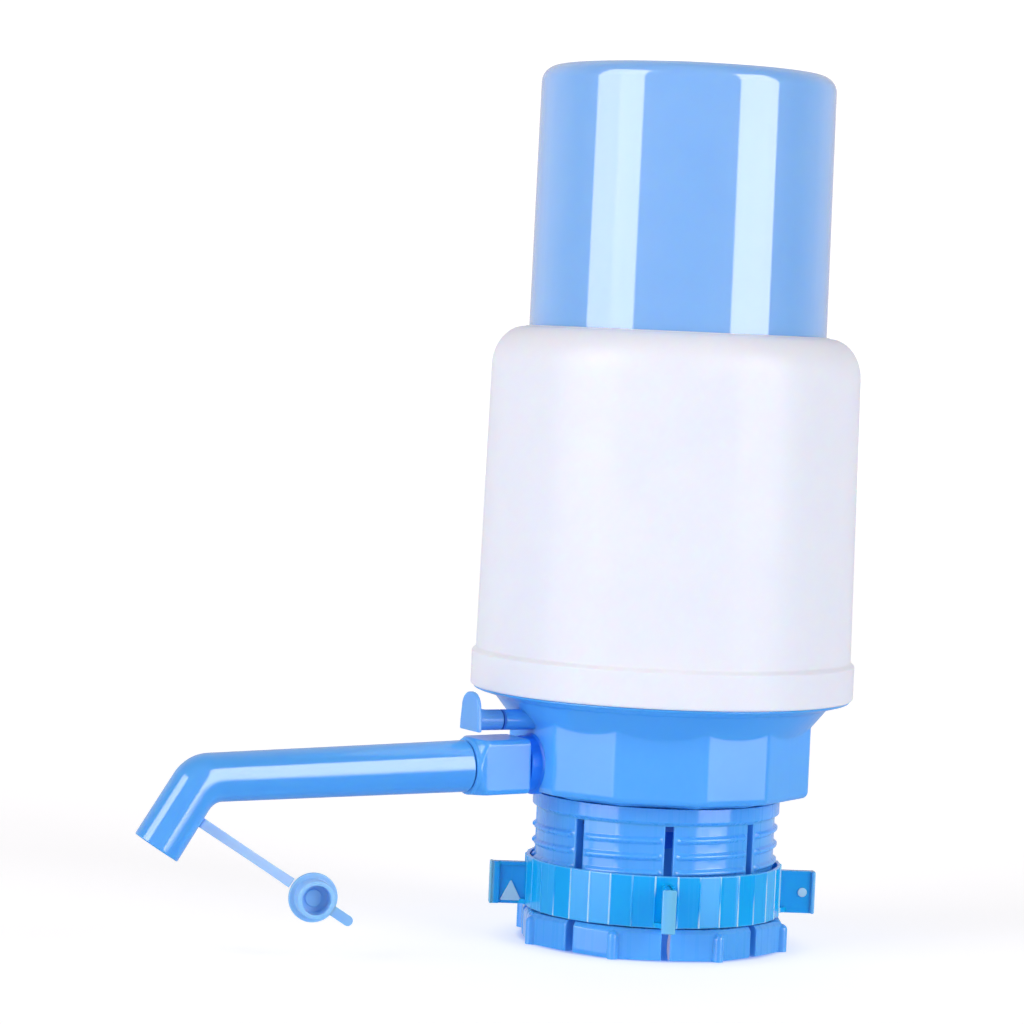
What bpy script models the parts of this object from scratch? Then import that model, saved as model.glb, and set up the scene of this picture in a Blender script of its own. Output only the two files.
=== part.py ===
"""Water jug hand pump: a press dome over bellows, on a collar that clamps a 55 mm bottle neck.

Metres, +Z up. The spout points along -X, the collar's foot stands on z = 0, and the origin is
under the middle of the whole pump, so the pump's own axis stands at x = AXIS_X.
"""

import math

import bmesh
import bpy
from mathutils import Matrix, Vector

# Clearances and cutters
GAP = 0.0003
SEAL_GAP = 0.00015
OVERRUN = 0.003
MERGE = 0.000001

# Facets round turned pieces
SHELL_SIDES = 36
COLLET_SIDES = 32
BORE_SIDES = 24
SMALL_SIDES = 20
BELLOWS_SIDES = 18
SEAL_SIDES = 16
PIN_SIDES = 10
QUADRANT_POINTS = 5
ARC_STEPS = 3

# Neck collet, sized by the standard bottle neck that it clamps
BOTTLE_NECK_RADIUS = 0.0275
NECK_SLIP = 0.0008
FINGER_WALL = 0.0024
COLLET_HEIGHT = 0.0377
CEILING_THICKNESS = 0.0032
COLLAR_PROUD = 0.0011
COLLAR_TAPER = 0.0007
FINGERS = 8
COLLET_TURN = -1.8
SLOT_WIDTH = 0.0022
SLOT_BRIDGE = 0.0010
GRIP_LIP = 0.0011
GRIP_LIP_BOTTOM = 0.0016
GRIP_LIP_HEIGHT = 0.0026
GRIP_LEAD_IN = 0.0010
THREAD_DEPTH = 0.00085
THREAD_PITCH = 0.0041
THREAD_ROOT_WIDTH = 0.0024
THREAD_CREST_WIDTH = 0.0010
THREAD_ROOT_SINK = 0.0005
THREAD_MARGIN = 0.0010
THREAD_TOP_MARGIN = 0.0004
THREAD_TURNS = 4
THREAD_STEPS = 3
THREAD_START_ANGLE = 151
THREAD_BASE = 0.0165
SKIRT_PROUD = 0.0043
SKIRT_BULGE = 0.0009
SKIRT_HEIGHT = 0.0079
SKIRT_CHAMFER = 0.0010
RIB_WIDTH = 0.0026
RIB_PROUD = 0.0012
RIB_HEIGHT = 0.0071
RIB_ROUND = 0.0005

NECK_GASKET_THICKNESS = 0.0025
NECK_GASKET_ROOM = 0.0014

# Lock ring
RING_HEIGHT = 0.0130
RING_WALL = 0.0011
RING_SIDES = 36
RING_CHAMFER = 0.0003
WINGS = 4
WING_START_ANGLE = 64.7
WING_REACH = 0.0091
WING_HEIGHT = 0.0110
WING_WEB = 0.0018
WING_RIM_PROUD = 0.0008
WING_WIDE_RIM = 0.0026
WING_NARROW_RIM = 0.0010
WING_FOOT_WIDTH = 0.0052
WING_FOOT_HEIGHT = 0.0015
WING_FOOT_DEPTH = 0.0018
MARK_PROUD = 0.0004
MARK_WIDTH = 0.0040
MARK_LIFT = 0.0016
DOT_RADIUS = 0.0012
LUG_HEIGHT = 0.0008
LUG_DROP = 0.0030
LUG_ARC = 10

# Lower body
BODY_INSET = 0.0088
BODY_FLOOR = 0.0018
BODY_WALL = 0.0024
FACET_PAIRS = 6
WIDE_FACET = 34
UNDERSIDE_INSET = 0.0078
UNDERSIDE_RISE = 0.0015
UNDERSIDE_SHARE = 0.6
CORNER_RISE = 0.0034
CORNER_SHOULDER = 0.0010
FLARE_DROP = 0.0072
FLARE_INSET = 0.0004
FLARE_BREAK_DROP = 0.0022
FLARE_BREAK_INSET = 0.0052
LIP_EDGE = 0.0005
LIP_INSET = 0.0006
SPIGOT_HEIGHT = 0.0075
SPIGOT_WALL = 0.0024
LEDGE_DROP = 0.0039
LEDGE_WIDTH = 0.0035
LEDGE_POCKET = 0.0012
POST_RADIUS = 0.0033
AIR_HOLE_RADIUS = 0.0018
AIR_HOLE_CIRCLE = 0.0140
AIR_HOLES = 4
AIR_HOLE_ANGLE = 20

# Stack over the ledge
PLATE_GASKET = 0.0010
GASKET_LAND = 0.0035
PLATE_THICKNESS = 0.0025
PORT_RADIUS = 0.0013
PORT_CIRCLE = 0.0050
PORTS = 6
LIP_THICKNESS = 0.0016
CLAMP_THICKNESS = 0.0025
CLAMP_LAND = 0.0032

# Screws
SCREWS = 4
SCREW_ANGLE = 45
SCREW_RADIUS = 0.0013
SCREW_HEAD_RADIUS = 0.0026
SCREW_HEAD_HEIGHT = 0.0018
SCREW_SLOT_WIDTH = 0.0007
SCREW_SLOT_DEPTH = 0.0008
CLAMP_SCREW_INSET = 0.0054
CLAMP_SCREW_LENGTH = 0.0160
COLLET_SCREW_CIRCLE = 0.0170
COLLET_SCREW_LENGTH = 0.0120
SCREW_END_ROOM = 0.0010

# Umbrella valves
VALVE_RADIUS = 0.0080
VALVE_THICKNESS = 0.0008
VALVE_DISH = 0.0006
VALVE_STEM_RADIUS = 0.0011
VALVE_KNOB_RADIUS = 0.0019
VALVE_KNOB_HEIGHT = 0.0018

# Outer shell
SHELL_RADIUS = 0.0482
SHELL_DRAFT = 0.0011
SHELL_HEIGHT = 0.0925
SHELL_WALL = 0.0018
SHOULDER_RADIUS = 0.0080
SHOULDER_LAND = 0.0010
BAND_PROUD = 0.0010
BAND_HEIGHT = 0.0088
BAND_STEP = 0.0010
BAND_WALL = 0.0020
BAND_ROUND_SHARE = 0.4

# Press cap
CAP_DRAFT = 0.0009
CAP_SHOW = 0.0683
CAP_WALL = 0.0018
CAP_EDGE_RADIUS = 0.0080
CAP_DOME = 0.0007
CAP_FLANGE = 0.0012
CAP_FLANGE_HEIGHT = 0.0023
CAP_RIB_WALL = 0.0020

# Bellows and its plug
BELLOWS_FOLD_PROUD = 0.0040
BELLOWS_FOLD_DEPTH = 0.0051
BELLOWS_WALL = 0.0015
BELLOWS_NECK_ROOM = 0.0018
BELLOWS_NECK_HEIGHT = 0.0020
BELLOWS_FOLDS = 9
BELLOWS_TOP_LIP = 0.0016
PLUG_THICKNESS = 0.0025
PLUG_LAND = 0.0093
PLUG_SPIGOT_WALL = 0.0022
PLUG_SPIGOT_DEPTH = 0.0045
PLUG_RIB_INSET = 0.0010
PLUG_HEADROOM = 0.0027

# Riser and nipple
SPOUT_RISE = 0.0085
RISER_RADIUS = 0.0065
RISER_BORE = 0.0046
RISER_DROP = 0.0100
RISER_BODY_RADIUS = 0.0080
RISER_BODY_TOP = 0.0080
RISER_ROOF = 0.0020
RISER_FLANGE_RADIUS = 0.0110
RISER_FLANGE_THICKNESS = 0.0020
RISER_SEAL_THICKNESS = 0.0005
SOCKET_WALL = 0.0011
SOCKET_REACH = 0.0150
NIPPLE_RADIUS = 0.0039
NIPPLE_BORE = 0.0024
NIPPLE_START = 0.0092
NIPPLE_IN_CONNECTOR = 0.0078
ORING_GROOVE_DEPTH = 0.0008
ORING_GROOVE_WIDTH = 0.0017
ORING_SIDES = 6
INNER_ORING_STATION = 0.0122
OUTER_ORING_REACH = 0.0045

# Spout
SPOUT_BOSS_RADIUS = 0.0070
SPOUT_BOSS_PROUD = 0.0032
SPOUT_DROOP = 1.26
CONNECTOR_HALF = 0.0069
CONNECTOR_LENGTH = 0.0152
CONNECTOR_CORNER = 0.0014
CONNECTOR_EDGE = 0.0005
CONNECTOR_MOUTH_RADIUS = 0.0073
CONNECTOR_MOUTH_LENGTH = 0.0030
CONNECTOR_SOCKET_RADIUS = 0.0060
TUBE_COLLAR_RADIUS = 0.0065
TUBE_BEND_RADIUS = 0.0060
TUBE_MOUTH_RADIUS = 0.0061
TUBE_WALL = 0.0013
SPOUT_RUN = 0.0911
SPOUT_DOWN_RUN = 0.0198
SPOUT_DOWN_ANGLE = 56.95
BEND_OUTER_RADIUS = 0.01025
BEND_INNER_RADIUS = 0.0045
BEND_STEPS = 5

# Strap and spout cap
STRAP_STATION = 0.0086
STRAP_STAND_OFF = 0.0012
STRAP_WIDTH = 0.0022
STRAP_THICKNESS = 0.0013
STRAP_REACH = 0.0328
STRAP_DIP = 32.7
STRAP_TURN = -14.48
STUD_DEPTH = 0.0009
STOPPER_FLANGE_RADIUS = 0.0061
STOPPER_FLANGE_THICKNESS = 0.0012
STOPPER_PLUG_RADIUS = 0.0047
STOPPER_PLUG_WALL = 0.0011
STOPPER_PLUG_HEIGHT = 0.0044
STOPPER_FLOOR_DISC = 0.0021
STOPPER_FLOOR_PROUD = 0.0004
STOPPER_TAB_WIDTH = 0.0026
STOPPER_TAB_REACH = 0.0118
STOPPER_TAB_THICKNESS = 0.0010

# Vent lever
VENT_ROOM = 0.0016
VENT_DROP = 0.0030
VENT_BAR_RADIUS = 0.0026
VENT_BOSS_PROUD = 0.0084
VENT_WASHER = 0.0005
VENT_BAR_LENGTH = 0.0075
VENT_PLATE_THICKNESS = 0.0012
VENT_PLATE_WIDTH = 0.0100
VENT_PLATE_HEIGHT = 0.0098
VENT_PLATE_TAPER = 0.0007
VENT_PLATE_ROUND = 0.0040
VENT_STEM_RADIUS = 0.0008
VENT_STEM_LENGTH = 0.0203
VENT_STEM_ROOM = 0.0011
VENT_KNOB_RADIUS = 0.0014
VENT_KNOB_LENGTH = 0.0012
VENT_CLIP_THICKNESS = 0.0010
VENT_CLIP_RADIUS = 0.0024
SPRING_RADIUS = 0.00175
SPRING_WIRE_RADIUS = 0.0003
SPRING_TURNS = 4
SPRING_STEPS = 8
SPRING_SEAT_ROOM = 0.0008

# Places worked out from the sizes above
COLLET_BORE = BOTTLE_NECK_RADIUS + NECK_SLIP
THREAD_ROOT_RADIUS = COLLET_BORE + FINGER_WALL
THREAD_CREST_RADIUS = THREAD_ROOT_RADIUS + THREAD_DEPTH
CEILING_Z = COLLET_HEIGHT - CEILING_THICKNESS
SLOT_TOP = CEILING_Z - SLOT_BRIDGE
RING_BOTTOM = SKIRT_HEIGHT + GAP
RING_BORE = (THREAD_CREST_RADIUS + GAP) / math.cos(math.pi / RING_SIDES)
RING_RADIUS = RING_BORE + RING_WALL
SKIRT_RADIUS = THREAD_ROOT_RADIUS + SKIRT_PROUD

SHELL_TOP_RADIUS = SHELL_RADIUS - SHELL_DRAFT
CAP_RADIUS = SHELL_TOP_RADIUS - SHOULDER_RADIUS - SHOULDER_LAND
CAP_TOP_RADIUS = CAP_RADIUS - CAP_DRAFT
BODY_RADIUS = SHELL_RADIUS - BODY_INSET
UNDERSIDE_RADIUS = BODY_RADIUS - UNDERSIDE_INSET
FLARE_BREAK_RADIUS = SHELL_RADIUS - FLARE_BREAK_INSET
CLAMP_SCREW_CIRCLE = BODY_RADIUS - CLAMP_SCREW_INSET
GASKET_INNER_RADIUS = CLAMP_SCREW_CIRCLE - GASKET_LAND
CLAMP_INNER_RADIUS = CLAMP_SCREW_CIRCLE - CLAMP_LAND
BELLOWS_NECK_RADIUS = CLAMP_INNER_RADIUS - BELLOWS_NECK_ROOM
BELLOWS_RADIUS = BELLOWS_NECK_RADIUS + BELLOWS_FOLD_PROUD
PLUG_RADIUS = BELLOWS_NECK_RADIUS
PLUG_SPIGOT_RADIUS = PLUG_RADIUS - PLUG_LAND

BODY_BOTTOM = COLLET_HEIGHT + GAP
FLOOR_TOP = BODY_BOTTOM + BODY_FLOOR
FACET_PLANE = BODY_RADIUS * math.cos(math.radians(WIDE_FACET / 2))
BODY_INNER_RADIUS = FACET_PLANE - BODY_WALL
SPOUT_Z = BODY_BOTTOM + SPOUT_RISE
VENT_Z = SPOUT_Z + CONNECTOR_HALF + VENT_ROOM + VENT_BAR_RADIUS
LEDGE_Z = VENT_Z + VENT_DROP
SHELL_BOTTOM = LEDGE_Z + LEDGE_DROP
SHELL_TOP = SHELL_BOTTOM + SHELL_HEIGHT
BAND_RADIUS = SHELL_RADIUS + BAND_PROUD
BAND_INNER_RADIUS = BAND_RADIUS - BAND_WALL
SPIGOT_RADIUS = BAND_INNER_RADIUS - GAP
SPIGOT_TOP = SHELL_BOTTOM + SPIGOT_HEIGHT
POCKET_RADIUS = BODY_INNER_RADIUS + LEDGE_WIDTH
STACK_RADIUS = POCKET_RADIUS - GAP

GASKET_Z = LEDGE_Z + GAP
PLATE_Z = GASKET_Z + PLATE_GASKET + GAP
BELLOWS_Z = PLATE_Z + PLATE_THICKNESS + GAP
CLAMP_Z = BELLOWS_Z + LIP_THICKNESS + GAP
CLAMP_TOP = CLAMP_Z + CLAMP_THICKNESS

CAP_TOP = SHELL_TOP + CAP_SHOW
CAP_STOP_Z = SHELL_TOP - SHELL_WALL - GAP
CAP_BOTTOM = CAP_STOP_Z - CAP_FLANGE_HEIGHT
CAP_ROOF_Z = CAP_TOP - CAP_DOME - CAP_WALL
PLUG_TOP = CAP_ROOF_Z - PLUG_HEADROOM
PLUG_Z = PLUG_TOP - PLUG_THICKNESS
BELLOWS_TOP = PLUG_Z - GAP

SPOUT_BOSS_END = FACET_PLANE + SPOUT_BOSS_PROUD
CONNECTOR_START = SPOUT_BOSS_END + GAP
CONNECTOR_END = CONNECTOR_START + CONNECTOR_LENGTH
NIPPLE_END = CONNECTOR_START + NIPPLE_IN_CONNECTOR
CONNECTOR_BORE = NIPPLE_RADIUS + GAP + SEAL_GAP
NIPPLE_HOLE = NIPPLE_RADIUS + GAP

VENT_BOSS_END = FACET_PLANE + VENT_BOSS_PROUD
VENT_HEAD = VENT_BOSS_END + GAP + VENT_WASHER + GAP
VENT_PLATE = VENT_HEAD + VENT_BAR_LENGTH
VENT_STEM_END = VENT_HEAD - VENT_STEM_LENGTH

# Colours and finishes: name, (red, green, blue), roughness, metallic
BLUE_ABS = ("blue_abs", (0.16, 0.40, 0.92), 0.28, 0)
PALE_BLUE_PE = ("pale_blue_pe", (0.36, 0.60, 0.96), 0.4, 0)
WHITE_PP = ("white_pp", (0.83, 0.86, 0.94), 0.3, 0)
CYAN_PP = ("cyan_pp", (0.01, 0.45, 0.75), 0.25, 0)
SILICONE = ("silicone", (0.75, 0.76, 0.78), 0.55, 0)
BLACK_RUBBER = ("black_rubber", (0.03, 0.03, 0.035), 0.6, 0)
NATURAL_PP = ("natural_pp", (0.8, 0.82, 0.84), 0.4, 0)
STAINLESS = ("stainless_steel", (0.6, 0.6, 0.61), 0.3, 1)


def clear_scene():
    for thing in list(bpy.data.objects):
        bpy.data.objects.remove(thing, do_unlink=True)


def finish(kind):
    """The material of one finish, made once and shared."""
    name, colour, roughness, metallic = kind
    made = bpy.data.materials.get(name)
    if made:
        return made
    made = bpy.data.materials.new(name)
    made.use_nodes = True
    shader = made.node_tree.nodes["Principled BSDF"]
    shader.inputs["Base Color"].default_value = (*colour, 1)
    shader.inputs["Roughness"].default_value = roughness
    shader.inputs["Metallic"].default_value = metallic
    made.diffuse_color = (*colour, 1)
    return made


def polar(radius, degrees, height=0):
    turn = math.radians(degrees)
    return Vector((radius * math.cos(turn), radius * math.sin(turn), height))


def arc(centre, radius, start, stop, steps=ARC_STEPS):
    """Points (r, z) of an arc, its angles in degrees from the outward direction."""
    points = []
    for step in range(steps + 1):
        turn = math.radians(start + (stop - start) * step / steps)
        points.append((centre[0] + radius * math.cos(turn), centre[1] + radius * math.sin(turn)))
    return points


def tidied(shape):
    bmesh.ops.remove_doubles(shape, verts=shape.verts, dist=MERGE)
    bmesh.ops.recalc_face_normals(shape, faces=shape.faces)
    return shape


def turned(profile, sides):
    """A closed (r, z) outline turned about the Z axis."""
    shape = bmesh.new()
    points = [shape.verts.new((r, 0, z)) for r, z in profile]
    edges = [shape.edges.new((a, b)) for a, b in zip(points, points[1:] + points[:1])]
    on_axis = [e for e in edges if all(abs(v.co.x) < MERGE for v in e.verts)]
    for edge in on_axis:
        edges.remove(edge)
        shape.edges.remove(edge)
    bmesh.ops.spin(
        shape,
        geom=points + edges,
        cent=(0, 0, 0),
        axis=(0, 0, 1),
        dvec=(0, 0, 0),
        angle=2 * math.pi,
        steps=sides,
        use_merge=True,
    )
    return tidied(shape)


def loft(rings, closed=False):
    """Faces between rings of points, capped at both ends, or joined end to end when closed."""
    shape = bmesh.new()
    rows = [[shape.verts.new(point) for point in ring] for ring in rings]
    pairs = list(zip(rows, rows[1:]))
    if closed:
        pairs.append((rows[-1], rows[0]))
    else:
        shape.faces.new(rows[0])
        shape.faces.new(rows[-1])
    for low, high in pairs:
        for index, point in enumerate(low):
            after = (index + 1) % len(low)
            shape.faces.new((point, low[after], high[after], high[index]))
    return tidied(shape)


def extruded(outline, start, stop):
    """A flat outline of (x, y) points raised from one height to another."""
    return loft([[(x, y, height) for x, y in outline] for height in (start, stop)])


def block(low, high):
    (x0, y0, z0), (x1, y1, z1) = low, high
    return extruded([(x0, y0), (x1, y0), (x1, y1), (x0, y1)], z0, z1)


def rod(radius, start, stop, sides=SMALL_SIDES):
    """A round bar between two points."""
    start, stop = Vector(start), Vector(stop)
    turn = (stop - start).to_track_quat("Z", "Y").to_matrix().to_4x4()
    bar = extruded([polar(radius, 360 * i / sides).xy for i in range(sides)], 0, (stop - start).length)
    return moved(bar, Matrix.Translation(start) @ turn)


def moved(shape, matrix):
    bmesh.ops.transform(shape, matrix=matrix, verts=shape.verts)
    return shape


def spun(shape, degrees):
    return moved(shape, Matrix.Rotation(math.radians(degrees), 4, "Z"))


def together(shapes):
    """Shapes that don't touch, gathered into one."""
    whole = bmesh.new()
    for shape in shapes:
        holder = bpy.data.meshes.new("holder")
        shape.to_mesh(holder)
        shape.free()
        whole.from_mesh(holder)
        bpy.data.meshes.remove(holder)
    return whole


def shaped(solid, *changes):
    """A solid after changes such as ("UNION", other) and ("DIFFERENCE", cutter)."""
    helpers = []

    def helper(shape):
        mesh = bpy.data.meshes.new("helper")
        shape.to_mesh(mesh)
        shape.free()
        helpers.append(bpy.data.objects.new("helper", mesh))
        bpy.context.scene.collection.objects.link(helpers[-1])
        return helpers[-1]

    worked = helper(solid)
    for operation, other in changes:
        modifier = worked.modifiers.new(operation, "BOOLEAN")
        modifier.operation = operation
        modifier.solver = "EXACT"
        modifier.object = helper(other)
    result = bmesh.new()
    result.from_object(worked, bpy.context.evaluated_depsgraph_get())
    for thing in helpers:
        mesh = thing.data
        bpy.data.objects.remove(thing, do_unlink=True)
        bpy.data.meshes.remove(mesh)
    bmesh.ops.remove_doubles(result, verts=result.verts, dist=MERGE)
    bmesh.ops.dissolve_limit(
        result, angle_limit=math.radians(0.05), verts=result.verts, edges=result.edges
    )
    bmesh.ops.triangulate(result, faces=[f for f in result.faces if len(f.verts) > 4])
    return result


def empty(name, place, parent=None):
    made = bpy.data.objects.new(name, None)
    made.location = place
    made.parent = parent
    bpy.context.scene.collection.objects.link(made)
    return made


def piece(name, shape, kind, axis, pivot=(0, 0, 0), smooth=30):
    """One named object, drawn in the pump's own frame, with its origin on its pivot."""
    pivot = Vector(pivot)
    moved(shape, Matrix.Translation(-pivot))
    mesh = bpy.data.meshes.new(name)
    shape.to_mesh(mesh)
    shape.free()
    mesh.shade_smooth()
    mesh.set_sharp_from_angle(angle=math.radians(smooth))
    mesh.materials.append(finish(kind))
    made = bpy.data.objects.new(name, mesh)
    made.location = pivot
    made.parent = axis
    bpy.context.scene.collection.objects.link(made)
    return made


def spread(count, start=0.0):
    """Evenly spread angles in degrees."""
    return [start + 360 * index / count for index in range(count)]


def holes(radius, circle, angles, low, high, sides=PIN_SIDES):
    """Upright round cutters on a circle."""
    return together(
        [rod(radius, polar(circle, a, low), polar(circle, a, high), sides) for a in angles]
    )


def screw_angles():
    return spread(SCREWS, SCREW_ANGLE)


def air_holes(low, high):
    return holes(AIR_HOLE_RADIUS, AIR_HOLE_CIRCLE, spread(AIR_HOLES, AIR_HOLE_ANGLE), low, high)


# Collet

def thread_height(degrees):
    return THREAD_BASE + THREAD_PITCH * (degrees - THREAD_START_ANGLE) / 360


def thread_ridge(start, stop):
    """One stretch of the thread's ridge, between two angles along the helix."""
    root = THREAD_ROOT_RADIUS - THREAD_ROOT_SINK
    section = (
        (root, -THREAD_ROOT_WIDTH / 2),
        (THREAD_CREST_RADIUS, -THREAD_CREST_WIDTH / 2),
        (THREAD_CREST_RADIUS, THREAD_CREST_WIDTH / 2),
        (root, THREAD_ROOT_WIDTH / 2),
    )
    rings = []
    for step in range(THREAD_STEPS + 1):
        angle = start + (stop - start) * step / THREAD_STEPS
        rings.append([polar(r, angle, thread_height(angle) + z) for r, z in section])
    return loft(rings)


def collet_threads():
    """The thread, broken at each slot so that the fingers can flex."""
    margin = math.degrees((SLOT_WIDTH / 2 + THREAD_MARGIN) / THREAD_ROOT_RADIUS)
    width = 360 / FINGERS
    first = THREAD_START_ANGLE - THREAD_START_ANGLE % width + width / 2 + COLLET_TURN
    ridges = []
    for finger in range(FINGERS * THREAD_TURNS):
        start = first + finger * width
        stop = start + width
        if thread_height(stop) + THREAD_ROOT_WIDTH / 2 < SLOT_TOP - THREAD_TOP_MARGIN:
            ridges.append(thread_ridge(start + margin, stop - margin))
    return together(ridges)


def skirt_ribs():
    """A grip rib on each corner of the octagonal foot, round at its top."""
    half = RIB_WIDTH / 2
    top = [(y, z) for y, z in arc((0, RIB_HEIGHT - half), half, 0, 180, QUADRANT_POINTS)]
    outline = [(-half, 0), (half, 0), *top]
    reach = SKIRT_RADIUS + RIB_PROUD
    upright = Matrix(((0, 0, 1, 0), (1, 0, 0, 0), (0, 1, 0, 0), (0, 0, 0, 1)))
    shrink = (half - RIB_ROUND) / half
    rings = []
    for radius, scale in ((THREAD_ROOT_RADIUS, 1), (reach - RIB_ROUND, 1), (reach, shrink)):
        middle = RIB_HEIGHT / 2
        raised = [(y * scale, middle + (z - middle) * scale if z else 0) for y, z in outline]
        rings.append([(y, z, radius) for y, z in raised])
    ribs = []
    for angle in spread(FINGERS, COLLET_TURN):
        ribs.append(spun(moved(loft(rings), upright), angle))
    return together(ribs)


def foot_outline(radius, height):
    """An octagon whose sides are slightly bowed out at their middles, where the slots are."""
    middle = radius * math.cos(math.pi / FINGERS) + SKIRT_BULGE
    points = []
    for angle in spread(FINGERS, COLLET_TURN):
        points += [polar(radius, angle, height), polar(middle, angle + 180 / FINGERS, height)]
    return points


def neck_collet(axis):
    """The clamping collar: a ceiling with eight threaded fingers and an octagonal foot."""
    collar = THREAD_ROOT_RADIUS + COLLAR_PROUD
    lip = COLLET_BORE - GRIP_LIP
    lip_top = GRIP_LIP_BOTTOM + GRIP_LIP_HEIGHT
    riser_hole = RISER_RADIUS + GAP
    fingers = turned(
        [
            (THREAD_ROOT_RADIUS, 0),
            (THREAD_ROOT_RADIUS, CEILING_Z - COLLAR_TAPER),
            (collar, CEILING_Z),
            (collar, COLLET_HEIGHT),
            (riser_hole, COLLET_HEIGHT),
            (riser_hole, CEILING_Z),
            (COLLET_BORE, CEILING_Z),
            (COLLET_BORE, lip_top + GRIP_LEAD_IN),
            (lip, lip_top),
            (lip, GRIP_LIP_BOTTOM),
            (COLLET_BORE, GRIP_LIP_BOTTOM - GRIP_LEAD_IN),
            (COLLET_BORE, 0),
        ],
        COLLET_SIDES,
    )
    octagon = []
    for radius, height in (
        (SKIRT_RADIUS - RIB_ROUND, 0),
        (SKIRT_RADIUS, RIB_ROUND),
        (SKIRT_RADIUS, SKIRT_HEIGHT - SKIRT_CHAMFER),
        (SKIRT_RADIUS - SKIRT_CHAMFER, SKIRT_HEIGHT),
    ):
        octagon.append(foot_outline(radius, height))
    wall_middle = THREAD_ROOT_RADIUS - FINGER_WALL / 2
    core = rod(wall_middle, (0, 0, -OVERRUN), (0, 0, SKIRT_HEIGHT + OVERRUN), COLLET_SIDES)
    foot = shaped(loft(octagon), ("UNION", skirt_ribs()), ("DIFFERENCE", core))
    reach = SKIRT_RADIUS + RIB_PROUD + OVERRUN
    half = SLOT_WIDTH / 2
    slots = []
    for angle in spread(FINGERS, COLLET_TURN + 180 / FINGERS):
        cutter = block((lip - OVERRUN, -half, -OVERRUN), (reach, half, SLOT_TOP))
        slots.append(spun(cutter, angle))
    clamp = shaped(
        fingers,
        ("UNION", foot),
        ("UNION", collet_threads()),
        ("DIFFERENCE", together(slots)),
    )
    under = CEILING_Z - OVERRUN
    over = COLLET_HEIGHT + OVERRUN
    screw_holes = holes(SCREW_RADIUS + GAP, COLLET_SCREW_CIRCLE, screw_angles(), under, over)
    shape = shaped(clamp, ("DIFFERENCE", air_holes(under, over)), ("DIFFERENCE", screw_holes))
    piece("neck_collet", shape, BLUE_ABS, axis)


def neck_gasket(axis):
    outer = COLLET_BORE - GAP
    inner = COLLET_SCREW_CIRCLE + SCREW_HEAD_RADIUS + NECK_GASKET_ROOM
    top = CEILING_Z - GAP
    bottom = top - NECK_GASKET_THICKNESS
    shape = turned([(inner, bottom), (outer, bottom), (outer, top), (inner, top)], BORE_SIDES)
    piece("neck_gasket", shape, SILICONE, axis)


# Lock ring

def ring_wing(mark):
    """One wing: a radial web with a rim, drawn along +X."""
    root = RING_RADIUS - RING_WALL / 2
    tip = RING_RADIUS + WING_REACH
    web = WING_WEB / 2
    rim = web + WING_RIM_PROUD
    outline = [
        (root, -web),
        (tip - WING_NARROW_RIM, -web),
        (tip - WING_NARROW_RIM, -rim),
        (tip, -rim),
        (tip, rim),
        (tip - WING_WIDE_RIM, rim),
        (tip - WING_WIDE_RIM, web),
        (root, web),
    ]
    top = RING_BOTTOM + WING_HEIGHT
    edge = WING_NARROW_RIM
    plate = extruded(outline, RING_BOTTOM, top)
    inside = web - WING_RIM_PROUD / 2
    over = WING_RIM_PROUD / 2
    rim_end = tip - WING_WIDE_RIM + over
    rim_bar = block((root + over, inside, top - edge), (rim_end, rim - MARK_PROUD / 2, top - over / 2))
    foot_out = RING_RADIUS + WING_FOOT_DEPTH
    half = WING_FOOT_WIDTH / 2
    foot_side = [(root + over, half), (RING_RADIUS, half), (foot_out, web + over)]
    foot_plan = foot_side + [(x, -y) for x, y in foot_side[::-1]]
    foot = extruded(foot_plan, RING_BOTTOM + over / 2, RING_BOTTOM + WING_FOOT_HEIGHT)
    changes = [("UNION", rim_bar), ("UNION", foot)]
    middle = (foot_out + tip - WING_WIDE_RIM) / 2
    upright = Matrix(((1, 0, 0, 0), (0, 0, 1, 0), (0, 1, 0, 0), (0, 0, 0, 1)))
    if mark == "triangle":
        low = RING_BOTTOM + MARK_LIFT
        half = MARK_WIDTH / 2
        corners = [(middle - half, low), (middle + half, low), (middle, low + MARK_WIDTH)]
        changes.append(("UNION", moved(extruded(corners, inside, web + MARK_PROUD), upright)))
    if mark == "dot":
        centre = Vector((middle + DOT_RADIUS, RING_BOTTOM + WING_HEIGHT / 2))
        corners = [centre + polar(DOT_RADIUS, a).xy for a in spread(PIN_SIDES)]
        changes.append(("UNION", moved(extruded(corners, -web - MARK_PROUD, -inside), upright)))
    return shaped(plate, *changes)


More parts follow.
